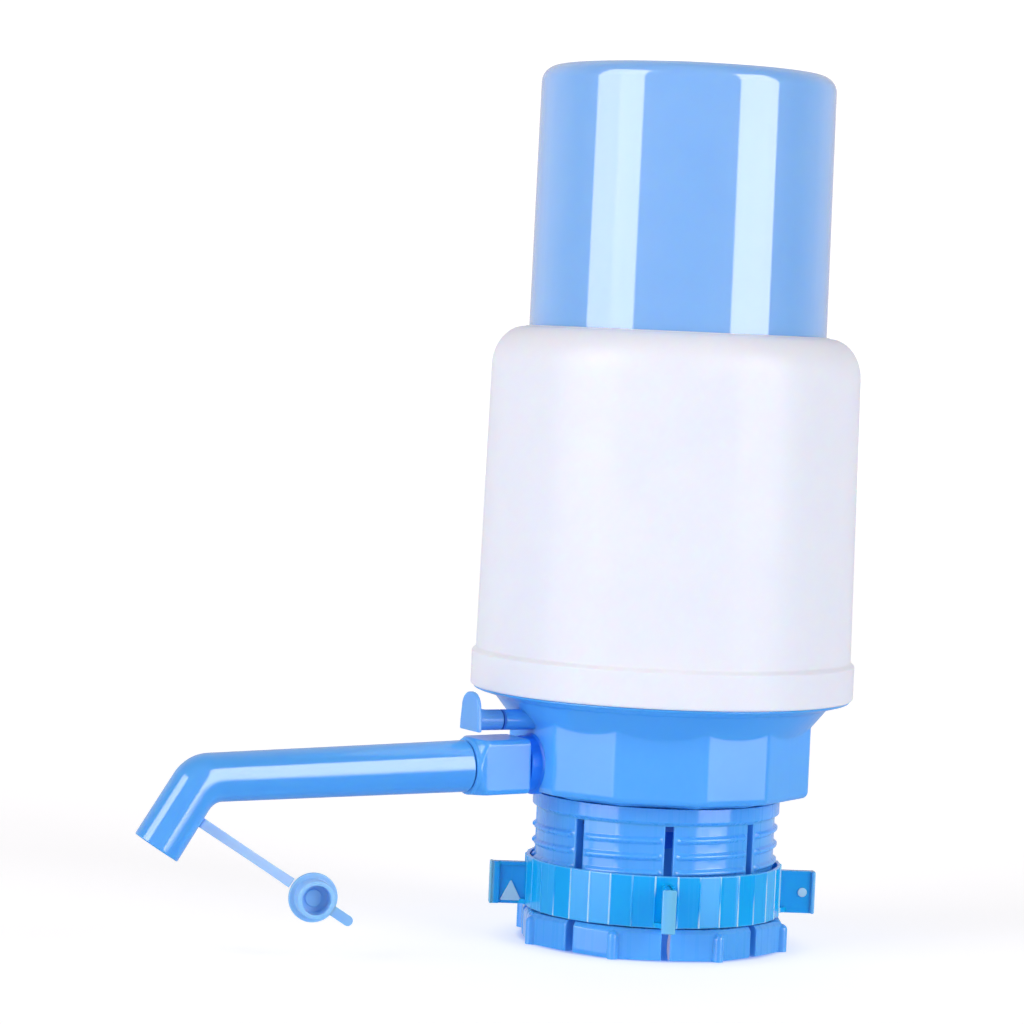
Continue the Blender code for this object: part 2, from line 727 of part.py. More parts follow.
def lock_ring(axis):
    """The clamping nut: a faceted ring with four wings, and lugs that ride in the thread."""
    top = RING_BOTTOM + RING_HEIGHT
    band = turned(
        [
            (0, RING_BOTTOM),
            (RING_RADIUS - RING_CHAMFER, RING_BOTTOM),
            (RING_RADIUS, RING_BOTTOM + RING_CHAMFER),
            (RING_RADIUS, top - RING_CHAMFER),
            (RING_RADIUS - RING_CHAMFER, top),
            (0, top),
        ],
        RING_SIDES,
    )
    marks = ("", "triangle", "", "dot")
    angles = spread(WINGS, WING_START_ANGLE)
    wings = together([spun(ring_wing(mark), angle) for mark, angle in zip(marks, angles)])
    bore = rod(RING_BORE, (0, 0, RING_BOTTOM - OVERRUN), (0, 0, top + OVERRUN), RING_SIDES)
    inner = THREAD_ROOT_RADIUS + GAP
    outer = RING_BORE + RING_WALL / 2
    lugs = []
    for angle in angles:
        turns = round((top - LUG_DROP - thread_height(angle)) / THREAD_PITCH - 0.5)
        middle = thread_height(angle) + (turns + 0.5) * THREAD_PITCH
        low, high = middle - LUG_HEIGHT / 2, middle + LUG_HEIGHT / 2
        ends = (angle - LUG_ARC / 2, angle, angle + LUG_ARC / 2)
        section = ((inner, low), (outer, low), (outer, high), (inner, high))
        lugs.append(loft([[polar(radius, end, height) for radius, height in section] for end in ends]))
    shape = shaped(band, ("UNION", wings), ("DIFFERENCE", bore), ("UNION", together(lugs)))
    piece("lock_ring", shape, CYAN_PP, axis, smooth=8)


# Lower body

def facet_ring(radius, height):
    """Twelve corners, with wide and narrow facets by turns. A wide facet faces the spout."""
    corners = []
    for face in spread(FACET_PAIRS):
        corners += [face - WIDE_FACET / 2, face + WIDE_FACET / 2]
    return [polar(radius, angle, height) for angle in corners]


def base_body(axis):
    """The twelve-sided tub with its flare, the spigot for the shell, bosses and screw posts."""
    edge = UNDERSIDE_RADIUS + (BODY_RADIUS - UNDERSIDE_RADIUS) * UNDERSIDE_SHARE
    tub = loft(
        [
            facet_ring(UNDERSIDE_RADIUS, BODY_BOTTOM),
            facet_ring(edge, BODY_BOTTOM + UNDERSIDE_RISE),
            facet_ring(BODY_RADIUS - CORNER_SHOULDER, BODY_BOTTOM + CORNER_RISE - CORNER_SHOULDER),
            facet_ring(BODY_RADIUS, BODY_BOTTOM + CORNER_RISE),
            facet_ring(BODY_RADIUS, LEDGE_Z),
        ]
    )
    foot_radius = BODY_RADIUS - FLARE_INSET
    slope = (FLARE_BREAK_RADIUS - foot_radius) / (FLARE_DROP - FLARE_BREAK_DROP)
    flare_inner = BODY_INNER_RADIUS + BODY_WALL / 2
    flare_bottom = SHELL_BOTTOM - FLARE_DROP - (foot_radius - flare_inner) / slope
    lip_top = SHELL_BOTTOM - GAP
    flare = turned(
        [
            (0, flare_bottom),
            (flare_inner, flare_bottom),
            (FLARE_BREAK_RADIUS, SHELL_BOTTOM - FLARE_BREAK_DROP),
            (SHELL_RADIUS - LIP_INSET, lip_top - LIP_EDGE),
            (SHELL_RADIUS, lip_top - LIP_EDGE / 2),
            (SHELL_RADIUS, lip_top),
            (SPIGOT_RADIUS, lip_top),
            (SPIGOT_RADIUS, SPIGOT_TOP),
            (0, SPIGOT_TOP),
        ],
        SHELL_SIDES,
    )
    spigot_inner = SPIGOT_RADIUS - SPIGOT_WALL
    room = turned(
        [
            (0, BODY_BOTTOM - OVERRUN),
            (RISER_RADIUS + GAP, BODY_BOTTOM - OVERRUN),
            (RISER_RADIUS + GAP, FLOOR_TOP),
            (BODY_INNER_RADIUS, FLOOR_TOP),
            (BODY_INNER_RADIUS, LEDGE_Z),
            (POCKET_RADIUS, LEDGE_Z),
            (POCKET_RADIUS, LEDGE_Z + LEDGE_POCKET),
            (spigot_inner, SHELL_BOTTOM + LEDGE_POCKET),
            (spigot_inner, SPIGOT_TOP + OVERRUN),
            (0, SPIGOT_TOP + OVERRUN),
        ],
        SHELL_SIDES,
    )
    sunk = BODY_BOTTOM + BODY_FLOOR / 2
    around = screw_angles()
    screw_hole = SCREW_RADIUS + GAP
    pilot_top = CEILING_Z - GAP + COLLET_SCREW_LENGTH + SCREW_END_ROOM
    pilot_bottom = CLAMP_TOP + GAP - CLAMP_SCREW_LENGTH - SCREW_END_ROOM
    post_top = LEDGE_Z - GAP
    posts = holes(POST_RADIUS, CLAMP_SCREW_CIRCLE, around, BODY_BOTTOM + CORNER_RISE, post_top)
    bosses = holes(POST_RADIUS, COLLET_SCREW_CIRCLE, around, sunk, pilot_top + BODY_WALL)
    inner = BODY_INNER_RADIUS - OVERRUN
    wall_middle = FACET_PLANE - BODY_WALL / 2
    vent_hole = VENT_STEM_RADIUS + VENT_STEM_ROOM
    below = BODY_BOTTOM - OVERRUN
    above = FLOOR_TOP + OVERRUN
    spout_boss = rod(SPOUT_BOSS_RADIUS, (-wall_middle, 0, SPOUT_Z), (-SPOUT_BOSS_END, 0, SPOUT_Z))
    vent_boss = rod(VENT_BAR_RADIUS, (-wall_middle, 0, VENT_Z), (-VENT_BOSS_END, 0, VENT_Z))
    spout_bore = rod(NIPPLE_HOLE, (-inner, 0, SPOUT_Z), (-SPOUT_BOSS_END - OVERRUN, 0, SPOUT_Z))
    vent_bore = rod(vent_hole, (-inner, 0, VENT_Z), (-VENT_BOSS_END - OVERRUN, 0, VENT_Z), PIN_SIDES)
    collet_pilots = holes(screw_hole, COLLET_SCREW_CIRCLE, around, below, pilot_top)
    clamp_pilots = holes(screw_hole, CLAMP_SCREW_CIRCLE, around, pilot_bottom, LEDGE_Z + OVERRUN)
    shape = shaped(
        tub,
        ("UNION", flare),
        ("DIFFERENCE", room),
        ("UNION", posts),
        ("UNION", bosses),
        ("UNION", spout_boss),
        ("UNION", vent_boss),
        ("DIFFERENCE", spout_bore),
        ("DIFFERENCE", vent_bore),
        ("DIFFERENCE", air_holes(below, above)),
        ("DIFFERENCE", collet_pilots),
        ("DIFFERENCE", clamp_pilots),
    )
    piece("base_body", shape, BLUE_ABS, axis, smooth=12)


# Stack over the ledge

def clamp_holes(bottom, top):
    """Cutters for the clamp screws through one layer of the stack."""
    radius = SCREW_RADIUS + GAP
    return holes(radius, CLAMP_SCREW_CIRCLE, screw_angles(), bottom - OVERRUN, top + OVERRUN)


def stack_ring(name, kind, axis, inner, bottom, thickness):
    """A flat ring of the clamped stack, with its four screw holes."""
    top = bottom + thickness
    outline = [(inner, bottom), (STACK_RADIUS, bottom), (STACK_RADIUS, top), (inner, top)]
    piece(name, shaped(turned(outline, BORE_SIDES), ("DIFFERENCE", clamp_holes(bottom, top))), kind, axis)


def ported(disc, bottom, top):
    """A disc with a ring of air ports and a hole for a valve's stem."""
    low, high = bottom - OVERRUN, top + OVERRUN
    stem_hole = rod(VALVE_STEM_RADIUS + GAP, (0, 0, low), (0, 0, high), PIN_SIDES)
    ports = holes(PORT_RADIUS, PORT_CIRCLE, spread(PORTS), low, high)
    return shaped(disc, ("DIFFERENCE", stem_hole), ("DIFFERENCE", ports))


def valve_plate(axis):
    top = PLATE_Z + PLATE_THICKNESS
    disc = turned([(0, PLATE_Z), (STACK_RADIUS, PLATE_Z), (STACK_RADIUS, top), (0, top)], BORE_SIDES)
    shape = shaped(ported(disc, PLATE_Z, top), ("DIFFERENCE", clamp_holes(PLATE_Z, top)))
    piece("valve_plate", shape, NATURAL_PP, axis)


def umbrella_valve(name, axis, seat_bottom, seat_top):
    """A rubber mushroom: its dished disc seals from below, and its knob holds it from above."""
    under = seat_bottom - GAP
    knob = seat_top + GAP
    shape = turned(
        [
            (0, under - VALVE_THICKNESS),
            (VALVE_RADIUS / 2, under - VALVE_THICKNESS),
            (VALVE_RADIUS, under - VALVE_DISH),
            (VALVE_RADIUS, under),
            (VALVE_STEM_RADIUS, under),
            (VALVE_STEM_RADIUS, knob),
            (VALVE_KNOB_RADIUS, knob),
            (VALVE_STEM_RADIUS, knob + VALVE_KNOB_HEIGHT),
            (0, knob + VALVE_KNOB_HEIGHT),
        ],
        SEAL_SIDES,
    )
    piece(name, shape, SILICONE, axis)


def bellows(axis):
    """The rubber concertina: a lip at each end, and a zig-zag wall between them."""
    neck = BELLOWS_NECK_RADIUS
    neck_top = CLAMP_TOP + BELLOWS_NECK_HEIGHT
    shoulder = BELLOWS_TOP - BELLOWS_TOP_LIP - BELLOWS_NECK_HEIGHT
    fold = (shoulder - neck_top) / BELLOWS_FOLDS
    lip_top = BELLOWS_Z + LIP_THICKNESS
    outer = [(STACK_RADIUS, BELLOWS_Z), (STACK_RADIUS, lip_top), (neck, lip_top)]
    inner = [(neck - BELLOWS_WALL, BELLOWS_Z)]
    valley = BELLOWS_RADIUS - BELLOWS_FOLD_DEPTH
    for index in range(BELLOWS_FOLDS):
        low = neck_top + fold * index
        for radius, height in ((valley, low), (BELLOWS_RADIUS, low + fold / 2)):
            outer.append((radius, height))
            inner.append((radius - BELLOWS_WALL, height))
    outer.append((valley, shoulder))
    inner.append((valley - BELLOWS_WALL, shoulder))
    top_hole = PLUG_SPIGOT_RADIUS + GAP
    under = BELLOWS_TOP - BELLOWS_TOP_LIP
    outer += [(neck, under), (neck, BELLOWS_TOP)]
    inner += [(neck - BELLOWS_WALL, under), (top_hole, under), (top_hole, BELLOWS_TOP)]
    screw_hole = SCREW_RADIUS + GAP
    cutters = holes(screw_hole, CLAMP_SCREW_CIRCLE, screw_angles(), BELLOWS_Z - OVERRUN, lip_top + GAP)
    shape = shaped(turned(outer + inner[::-1], BELLOWS_SIDES), ("DIFFERENCE", cutters))
    piece("bellows", shape, SILICONE, axis, smooth=20)


def bellows_plug(axis):
    """The rigid disc that closes the bellows, with a spigot through the bellows' top lip."""
    inside = PLUG_SPIGOT_RADIUS - PLUG_SPIGOT_WALL
    bottom = PLUG_Z - PLUG_SPIGOT_DEPTH
    disc = turned(
        [
            (0, PLUG_Z),
            (inside, PLUG_Z),
            (inside, bottom),
            (PLUG_SPIGOT_RADIUS, bottom),
            (PLUG_SPIGOT_RADIUS, PLUG_Z),
            (PLUG_RADIUS, PLUG_Z),
            (PLUG_RADIUS, PLUG_TOP),
            (0, PLUG_TOP),
        ],
        BORE_SIDES,
    )
    piece("bellows_plug", ported(disc, PLUG_Z, PLUG_TOP), NATURAL_PP, axis)


def screw(name, axis, place, length, upward):
    """A pan head screw with a slot. Its head's seat is at its place."""
    head = SCREW_HEAD_HEIGHT
    outline = [
        (0, head),
        (SCREW_HEAD_RADIUS - SCREW_SLOT_DEPTH, head),
        (SCREW_HEAD_RADIUS, head - SCREW_SLOT_DEPTH),
        (SCREW_HEAD_RADIUS, 0),
        (SCREW_RADIUS, 0),
        (SCREW_RADIUS, SCREW_RADIUS - length),
        (0, -length),
    ]
    half = SCREW_SLOT_WIDTH / 2
    reach = SCREW_HEAD_RADIUS + OVERRUN
    slot = block((-reach, -half, head - SCREW_SLOT_DEPTH), (reach, half, head + OVERRUN))
    shape = shaped(turned(outline, PIN_SIDES), ("DIFFERENCE", slot))
    if upward:
        moved(shape, Matrix.Rotation(math.pi, 4, "X"))
    moved(shape, Matrix.Translation(place))
    piece(name, shape, STAINLESS, axis)


def screws(axis):
    for index, angle in enumerate(screw_angles(), 1):
        place = polar(CLAMP_SCREW_CIRCLE, angle, CLAMP_TOP + GAP)
        screw(f"clamp_screw_{index}", axis, place, CLAMP_SCREW_LENGTH, False)
        place = polar(COLLET_SCREW_CIRCLE, angle, CEILING_Z - GAP)
        screw(f"collet_screw_{index}", axis, place, COLLET_SCREW_LENGTH, True)


# Casings

def outer_shell(axis):
    """The white casing: a thick band at its foot, a slight draft, and a rounded shoulder."""
    bend = SHELL_TOP - SHOULDER_RADIUS
    corner = SHELL_TOP_RADIUS - SHOULDER_RADIUS
    opening = CAP_RADIUS + GAP
    band_top = SHELL_BOTTOM + BAND_HEIGHT
    shoulder = arc((corner, bend), SHOULDER_RADIUS, 0, 90, QUADRANT_POINTS)
    inner_shoulder = arc((corner, bend), SHOULDER_RADIUS - SHELL_WALL, 90, 0, ARC_STEPS - 1)
    inside = SHELL_RADIUS - SHELL_WALL
    outline = [
        (BAND_RADIUS - BAND_STEP / 2, SHELL_BOTTOM),
        (BAND_RADIUS, SHELL_BOTTOM + BAND_STEP / 2),
        (BAND_RADIUS, band_top),
        (BAND_RADIUS - BAND_PROUD * BAND_ROUND_SHARE, band_top + BAND_STEP * BAND_ROUND_SHARE),
        (SHELL_RADIUS, band_top + BAND_STEP),
        *shoulder,
        (opening, SHELL_TOP),
        (opening, SHELL_TOP - SHELL_WALL),
        *inner_shoulder,
        (inside, SPIGOT_TOP + GAP + BAND_STEP),
        (BAND_INNER_RADIUS, SPIGOT_TOP + GAP),
        (BAND_INNER_RADIUS, SHELL_BOTTOM),
    ]
    piece("outer_shell", turned(outline, SHELL_SIDES), WHITE_PP, axis, smooth=40)


def push_cap(axis):
    """The press dome: a stop flange under the shell's top, and a rib that bears on the plug."""
    bend = CAP_TOP - CAP_DOME - CAP_EDGE_RADIUS
    corner = CAP_TOP_RADIUS - CAP_EDGE_RADIUS
    inner_edge = CAP_EDGE_RADIUS - CAP_WALL
    flange = CAP_RADIUS + CAP_FLANGE
    rib_out = PLUG_RADIUS - PLUG_RIB_INSET
    rib_in = rib_out - CAP_RIB_WALL
    rib_z = PLUG_TOP + GAP
    outline = [
        (CAP_RADIUS - CAP_WALL, CAP_BOTTOM),
        (flange, CAP_BOTTOM),
        (flange, CAP_STOP_Z),
        (CAP_RADIUS, CAP_STOP_Z),
        (CAP_RADIUS, SHELL_TOP),
        *arc((corner, bend), CAP_EDGE_RADIUS, 0, 90, QUADRANT_POINTS),
        (corner / 2, CAP_TOP - CAP_DOME / 4),
        (0, CAP_TOP),
        (0, CAP_ROOF_Z),
        (rib_in, CAP_ROOF_Z),
        (rib_in, rib_z),
        (rib_out, rib_z),
        (rib_out, CAP_ROOF_Z),
        *arc((corner, bend), inner_edge, 90, 0, ARC_STEPS - 1),
        (CAP_RADIUS - CAP_WALL, SHELL_TOP),
    ]
    piece("push_cap", turned(outline, SHELL_SIDES), BLUE_ABS, axis, smooth=40)


# Riser and nipple

def riser_elbow(axis):
    """Takes the water from the dip tube, up through the floor, and out to the side."""
    bottom = CEILING_Z - RISER_DROP
    seat = FLOOR_TOP + GAP + RISER_SEAL_THICKNESS + GAP
    flange_top = seat + RISER_FLANGE_THICKNESS
    top = SPOUT_Z + RISER_BODY_TOP
    body = turned(
        [
            (0, bottom),
            (RISER_RADIUS, bottom),
            (RISER_RADIUS, seat),
            (RISER_FLANGE_RADIUS, seat),
            (RISER_FLANGE_RADIUS, flange_top),
            (RISER_BODY_RADIUS, flange_top),
            (RISER_BODY_RADIUS, top),
            (0, top),
        ],
        SMALL_SIDES,
    )
    socket_radius = CONNECTOR_BORE + SOCKET_WALL
    socket = rod(socket_radius, (0, 0, SPOUT_Z), (-SOCKET_REACH, 0, SPOUT_Z))
    roof = top - RISER_ROOF
    water_way = rod(RISER_BORE, (0, 0, bottom - OVERRUN), (0, 0, roof))
    socket_end = -SOCKET_REACH - OVERRUN
    socket_bore = rod(CONNECTOR_BORE, (GAP - NIPPLE_START, 0, SPOUT_Z), (socket_end, 0, SPOUT_Z))
    side_way = rod(NIPPLE_BORE, (0, 0, SPOUT_Z), (-NIPPLE_START - OVERRUN, 0, SPOUT_Z))
    shape = shaped(
        body,
        ("UNION", socket),
        ("DIFFERENCE", water_way),
        ("DIFFERENCE", socket_bore),
        ("DIFFERENCE", side_way),
    )
    piece("riser_elbow", shape, NATURAL_PP, axis)


def riser_seal(axis):
    bottom = FLOOR_TOP + GAP
    top = bottom + RISER_SEAL_THICKNESS
    inner = RISER_RADIUS + GAP
    outline = [(inner, bottom), (RISER_FLANGE_RADIUS, bottom), (RISER_FLANGE_RADIUS, top), (inner, top)]
    piece("riser_seal", turned(outline, SMALL_SIDES), SILICONE, axis)


def sideways(station=0.0):
    """Lays a piece that was turned about Z along the spout, its z = 0 at a distance from the axis."""
    return Matrix.Translation((-station, 0, SPOUT_Z)) @ Matrix.Rotation(-math.pi / 2, 4, "Y")


def outlet_nipple(axis):
    """The short tube from the elbow, through the wall, into the spout's connector."""
    groove = NIPPLE_RADIUS - ORING_GROOVE_DEPTH
    outline = [(NIPPLE_BORE, NIPPLE_START), (NIPPLE_RADIUS, NIPPLE_START)]
    for station in (INNER_ORING_STATION, CONNECTOR_START + OUTER_ORING_REACH):
        near = station - ORING_GROOVE_WIDTH / 2
        far = station + ORING_GROOVE_WIDTH / 2
        outline += [(NIPPLE_RADIUS, near), (groove, near), (groove, far), (NIPPLE_RADIUS, far)]
    outline += [(NIPPLE_RADIUS, NIPPLE_END), (NIPPLE_BORE, NIPPLE_END)]
    piece("outlet_nipple", moved(turned(outline, SMALL_SIDES), sideways()), NATURAL_PP, axis)


def nipple_oring(name, axis, station):
    inner = NIPPLE_RADIUS - ORING_GROOVE_DEPTH + SEAL_GAP
    outer = CONNECTOR_BORE - SEAL_GAP
    thickness = (outer - inner) / 2
    ring = arc(((outer + inner) / 2, station), thickness, 0, 360, ORING_SIDES)[:-1]
    piece(name, moved(turned(ring, SEAL_SIDES), sideways()), BLACK_RUBBER, axis)


# Spout

def spout_frame(station, droop=SPOUT_DROOP):
    """A frame on the spout's drooping line, its Z axis along the spout, at a distance from the axis."""
    turn = math.radians(droop)
    run = station - FACET_PLANE
    place = Vector((-FACET_PLANE - run * math.cos(turn), 0, SPOUT_Z - run * math.sin(turn)))
    return Matrix.Translation(place) @ Matrix.Rotation(-math.pi / 2 - turn, 4, "Y")


def rounded_square(half, corner):
    """Corner points of a square with round corners. A corner as large as the half makes a circle."""
    points = []
    for quadrant in range(4):
        middle = Matrix.Rotation(math.pi / 2 * quadrant, 2) @ Vector((half - corner, half - corner))
        for step in range(QUADRANT_POINTS):
            turn = 90 * (quadrant + (step + 0.5) / QUADRANT_POINTS)
            points.append(middle + polar(corner, turn).xy)
    return points


def spout_connector(axis):
    """The push-on collar: square on the body side, round where the tube goes in."""
    length = CONNECTOR_LENGTH
    square_end = length - CONNECTOR_MOUTH_LENGTH
    mouth = CONNECTOR_MOUTH_RADIUS
    edge = CONNECTOR_EDGE
    sections = (
        (0, CONNECTOR_HALF - edge, CONNECTOR_CORNER),
        (edge, CONNECTOR_HALF, CONNECTOR_CORNER),
        (square_end, CONNECTOR_HALF, CONNECTOR_CORNER),
        (square_end + CONNECTOR_MOUTH_LENGTH / 2, (CONNECTOR_HALF + mouth) / 2, mouth / 2),
        (length - edge, mouth, mouth),
        (length, mouth - edge, mouth - edge),
    )
    rings = [[(p.x, p.y, z) for p in rounded_square(half, corner)] for z, half, corner in sections]
    place = spout_frame(CONNECTOR_START)
    step = NIPPLE_IN_CONNECTOR + GAP
    bore = rod(CONNECTOR_BORE, (0, 0, -OVERRUN), (0, 0, step + GAP))
    socket = rod(CONNECTOR_SOCKET_RADIUS, (0, 0, step), (0, 0, length + OVERRUN))
    shape = shaped(loft(rings), ("DIFFERENCE", bore), ("DIFFERENCE", socket))
    piece("spout_connector", moved(shape, place), BLUE_ABS, axis)


def in_plane(angle, along, up):
    """The vector in the spout's own plane that goes along and up from a direction below level."""
    turn = math.radians(angle)
    forward = Vector((-math.cos(turn), 0, -math.sin(turn)))
    upward = Vector((-math.sin(turn), 0, math.cos(turn)))
    return forward * along + upward * up


def tube_ring(centre, angle, half_height, half_width):
    upward = in_plane(angle, 0, 1)
    ring = []
    for turn in spread(SMALL_SIDES):
        across = math.sin(math.radians(turn)) * half_width
        rise = math.cos(math.radians(turn)) * half_height
        ring.append(centre + upward * rise + Vector((0, across, 0)))
    return ring


def spout_corner():
    start = Vector((-FACET_PLANE, 0, SPOUT_Z))
    return start + in_plane(SPOUT_DROOP, SPOUT_RUN, 0)


def tube_rings(inset):
    """Rings of the tube's skin, or with an inset of its bore, from the connector to the mouth."""
    start = Vector((-FACET_PLANE, 0, SPOUT_Z))
    shoulder = CONNECTOR_END + GAP
    spigot = CONNECTOR_SOCKET_RADIUS - GAP
    spigot_start = NIPPLE_END + GAP + GAP
    rings = []
    if inset:
        step = ((CONNECTOR_END, spigot), (shoulder + inset, TUBE_COLLAR_RADIUS))
    else:
        step = ((shoulder, spigot), (shoulder, TUBE_COLLAR_RADIUS))
    for station, radius in ((spigot_start, spigot), *step):
        centre = start + in_plane(SPOUT_DROOP, station - FACET_PLANE, 0)
        rings.append(tube_ring(centre, SPOUT_DROOP, radius - inset, radius - inset))
    corner = spout_corner()
    upper = in_plane(SPOUT_DROOP, 0, 1)
    lower = in_plane(SPOUT_DOWN_ANGLE, 0, 1)
    middle = (upper + lower) / (1 + upper.dot(lower))
    outside = corner + middle * (TUBE_BEND_RADIUS - BEND_OUTER_RADIUS)
    inside = corner - middle * (TUBE_BEND_RADIUS + BEND_INNER_RADIUS)
    for step in range(BEND_STEPS + 1):
        angle = SPOUT_DROOP + (SPOUT_DOWN_ANGLE - SPOUT_DROOP) * step / BEND_STEPS
        out = in_plane(angle, 0, 1)
        back = outside + out * BEND_OUTER_RADIUS
        front = inside + out * BEND_INNER_RADIUS
        across = back - front
        tilt = math.degrees(math.atan2(-across.x, across.z))
        rings.append(
            tube_ring((back + front) / 2, tilt, across.length / 2 - inset, TUBE_BEND_RADIUS - inset)
        )
    mouth = corner + in_plane(SPOUT_DOWN_ANGLE, SPOUT_DOWN_RUN, 0)
    mouth_radius = TUBE_MOUTH_RADIUS - inset
    rings.append(tube_ring(mouth, SPOUT_DOWN_ANGLE, mouth_radius, mouth_radius))
    return rings


def strap_frame():
    """Where the strap springs from: X along the strap, Y across its width, Z through its thickness."""
    dip = math.radians(STRAP_DIP)
    turn = math.radians(STRAP_TURN)
    along = Vector((math.cos(turn) * math.cos(dip), math.sin(turn) * math.cos(dip), -math.sin(dip)))
    through = Vector((math.sin(turn), -math.cos(turn), 0))
    across = through.cross(along)
    off = TUBE_MOUTH_RADIUS + STRAP_STAND_OFF
    root = spout_corner() + in_plane(SPOUT_DOWN_ANGLE, STRAP_STATION, -off)
    frame = Matrix((along, across, through)).transposed().to_4x4()
    return Matrix.Translation(root) @ frame


def spout_tube(axis):
    """The bent outlet tube, with the stud that the strap hangs from."""
    skin = tube_rings(0)
    bore = tube_rings(TUBE_WALL)
    tube = loft(skin + bore[::-1], closed=True)
    half_width = STRAP_WIDTH / 2
    half = STRAP_THICKNESS / 2
    near = -half - GAP
    far = -STRAP_STAND_OFF - STUD_DEPTH
    stud = moved(block((far, -half_width, -half), (near, half_width, half)), strap_frame())
    piece("spout_tube", shaped(tube, ("UNION", stud)), BLUE_ABS, axis, smooth=35)


def stopper_distance():
    """From the strap's root to the fold beside the stopper's flange."""
    return STRAP_REACH - STOPPER_FLANGE_RADIUS - STRAP_THICKNESS / 2 - GAP


def cap_strap(axis):
    """A flat moulded strap with a round hinge edge at each end."""
    half = STRAP_THICKNESS / 2
    end = stopper_distance()
    outline = arc((end, 0), half, -90, 90) + arc((0, 0), half, 90, 270)
    flat = Matrix.Rotation(math.pi / 2, 4, "X")
    shape = moved(extruded(outline, -STRAP_WIDTH / 2, STRAP_WIDTH / 2), flat)
    frame = strap_frame()
    piece("cap_strap", moved(shape, frame), PALE_BLUE_PE, axis, pivot=frame.translation, smooth=50)


def spout_cap(axis):
    """The plug cap: a flange, a hollow plug that faces away from the strap's plane, and a pull tab."""
    half = STOPPER_FLANGE_THICKNESS / 2
    plug_in = STOPPER_PLUG_RADIUS - STOPPER_PLUG_WALL
    tip = half + STOPPER_PLUG_HEIGHT
    edge = STOPPER_PLUG_WALL / 4
    body = turned(
        [
            (0, -half),
            (STOPPER_FLANGE_RADIUS - edge, -half),
            (STOPPER_FLANGE_RADIUS, edge - half),
            (STOPPER_FLANGE_RADIUS, half - edge),
            (STOPPER_FLANGE_RADIUS - edge, half),
            (STOPPER_PLUG_RADIUS, half),
            (STOPPER_PLUG_RADIUS, tip - edge),
            (STOPPER_PLUG_RADIUS - edge, tip),
            (plug_in + edge, tip),
            (plug_in, tip - edge),
            (plug_in, half),
            (STOPPER_FLOOR_DISC, half),
            (STOPPER_FLOOR_DISC, half + STOPPER_FLOOR_PROUD),
            (0, half + STOPPER_FLOOR_PROUD),
        ],
        SMALL_SIDES,
    )
    tab_half = STOPPER_TAB_WIDTH / 2
    tab_end = STOPPER_TAB_REACH - tab_half
    start = STOPPER_FLANGE_RADIUS - tab_half
    outline = [(start, tab_half), (start, -tab_half), *arc((tab_end, 0), tab_half, -90, 90)]
    thin = STOPPER_TAB_THICKNESS / 2
    shape = shaped(body, ("UNION", extruded(outline, -thin, thin)))
    frame = strap_frame()
    centre = frame @ Matrix.Translation((STRAP_REACH, 0, 0))
    fold = frame @ Vector((stopper_distance(), 0, 0))
    piece("spout_cap", moved(shape, centre), PALE_BLUE_PE, axis, pivot=fold)


# Vent lever

def vent_bar(radius, start, stop, sides=PIN_SIDES):
    return rod(radius, (-start, 0, VENT_Z), (-stop, 0, VENT_Z), sides)


def vent_lever(axis):
    """A thumb plate on a bar. Its stem goes through the wall, and the seal opens when it tilts."""
    half = VENT_PLATE_WIDTH / 2
    top_half = half - VENT_PLATE_TAPER
    rounding = VENT_PLATE_ROUND
    bend = VENT_PLATE_HEIGHT - rounding
    left = [(y, z) for y, z in arc((top_half - rounding, bend), rounding, 0, 90)]
    right = [(-y, z) for y, z in left[::-1]]
    outline = [(-half, 0), (half, 0), *left, *right]
    plate = extruded(outline, VENT_PLATE, VENT_PLATE + VENT_PLATE_THICKNESS)
    stand = Matrix(((0, 0, -1, 0), (1, 0, 0, 0), (0, 1, 0, VENT_Z - VENT_BAR_RADIUS), (0, 0, 0, 1)))
    bar_end = VENT_PLATE + VENT_PLATE_THICKNESS / 2
    knob = vent_bar(VENT_KNOB_RADIUS, VENT_STEM_END, VENT_STEM_END + VENT_KNOB_LENGTH)
    shape = shaped(
        moved(plate, stand),
        ("UNION", vent_bar(VENT_BAR_RADIUS, VENT_HEAD, bar_end, SMALL_SIDES)),
        ("UNION", vent_bar(VENT_STEM_RADIUS, VENT_STEM_END, VENT_HEAD + VENT_BAR_RADIUS)),
        ("UNION", knob),
    )
    pivot = (-VENT_HEAD, 0, VENT_Z - VENT_BAR_RADIUS)
    piece("vent_lever", shape, PALE_BLUE_PE, axis, pivot=pivot)


def vent_ring(name, kind, axis, start, thickness, inner, outer):
    ring = turned([(inner, 0), (outer, 0), (outer, thickness), (inner, thickness)], PIN_SIDES)
    place = Matrix.Translation((-start, 0, VENT_Z)) @ Matrix.Rotation(-math.pi / 2, 4, "Y")
    pivot = (-VENT_HEAD, 0, VENT_Z - VENT_BAR_RADIUS)
    piece(name, moved(ring, place), kind, axis, pivot=pivot)


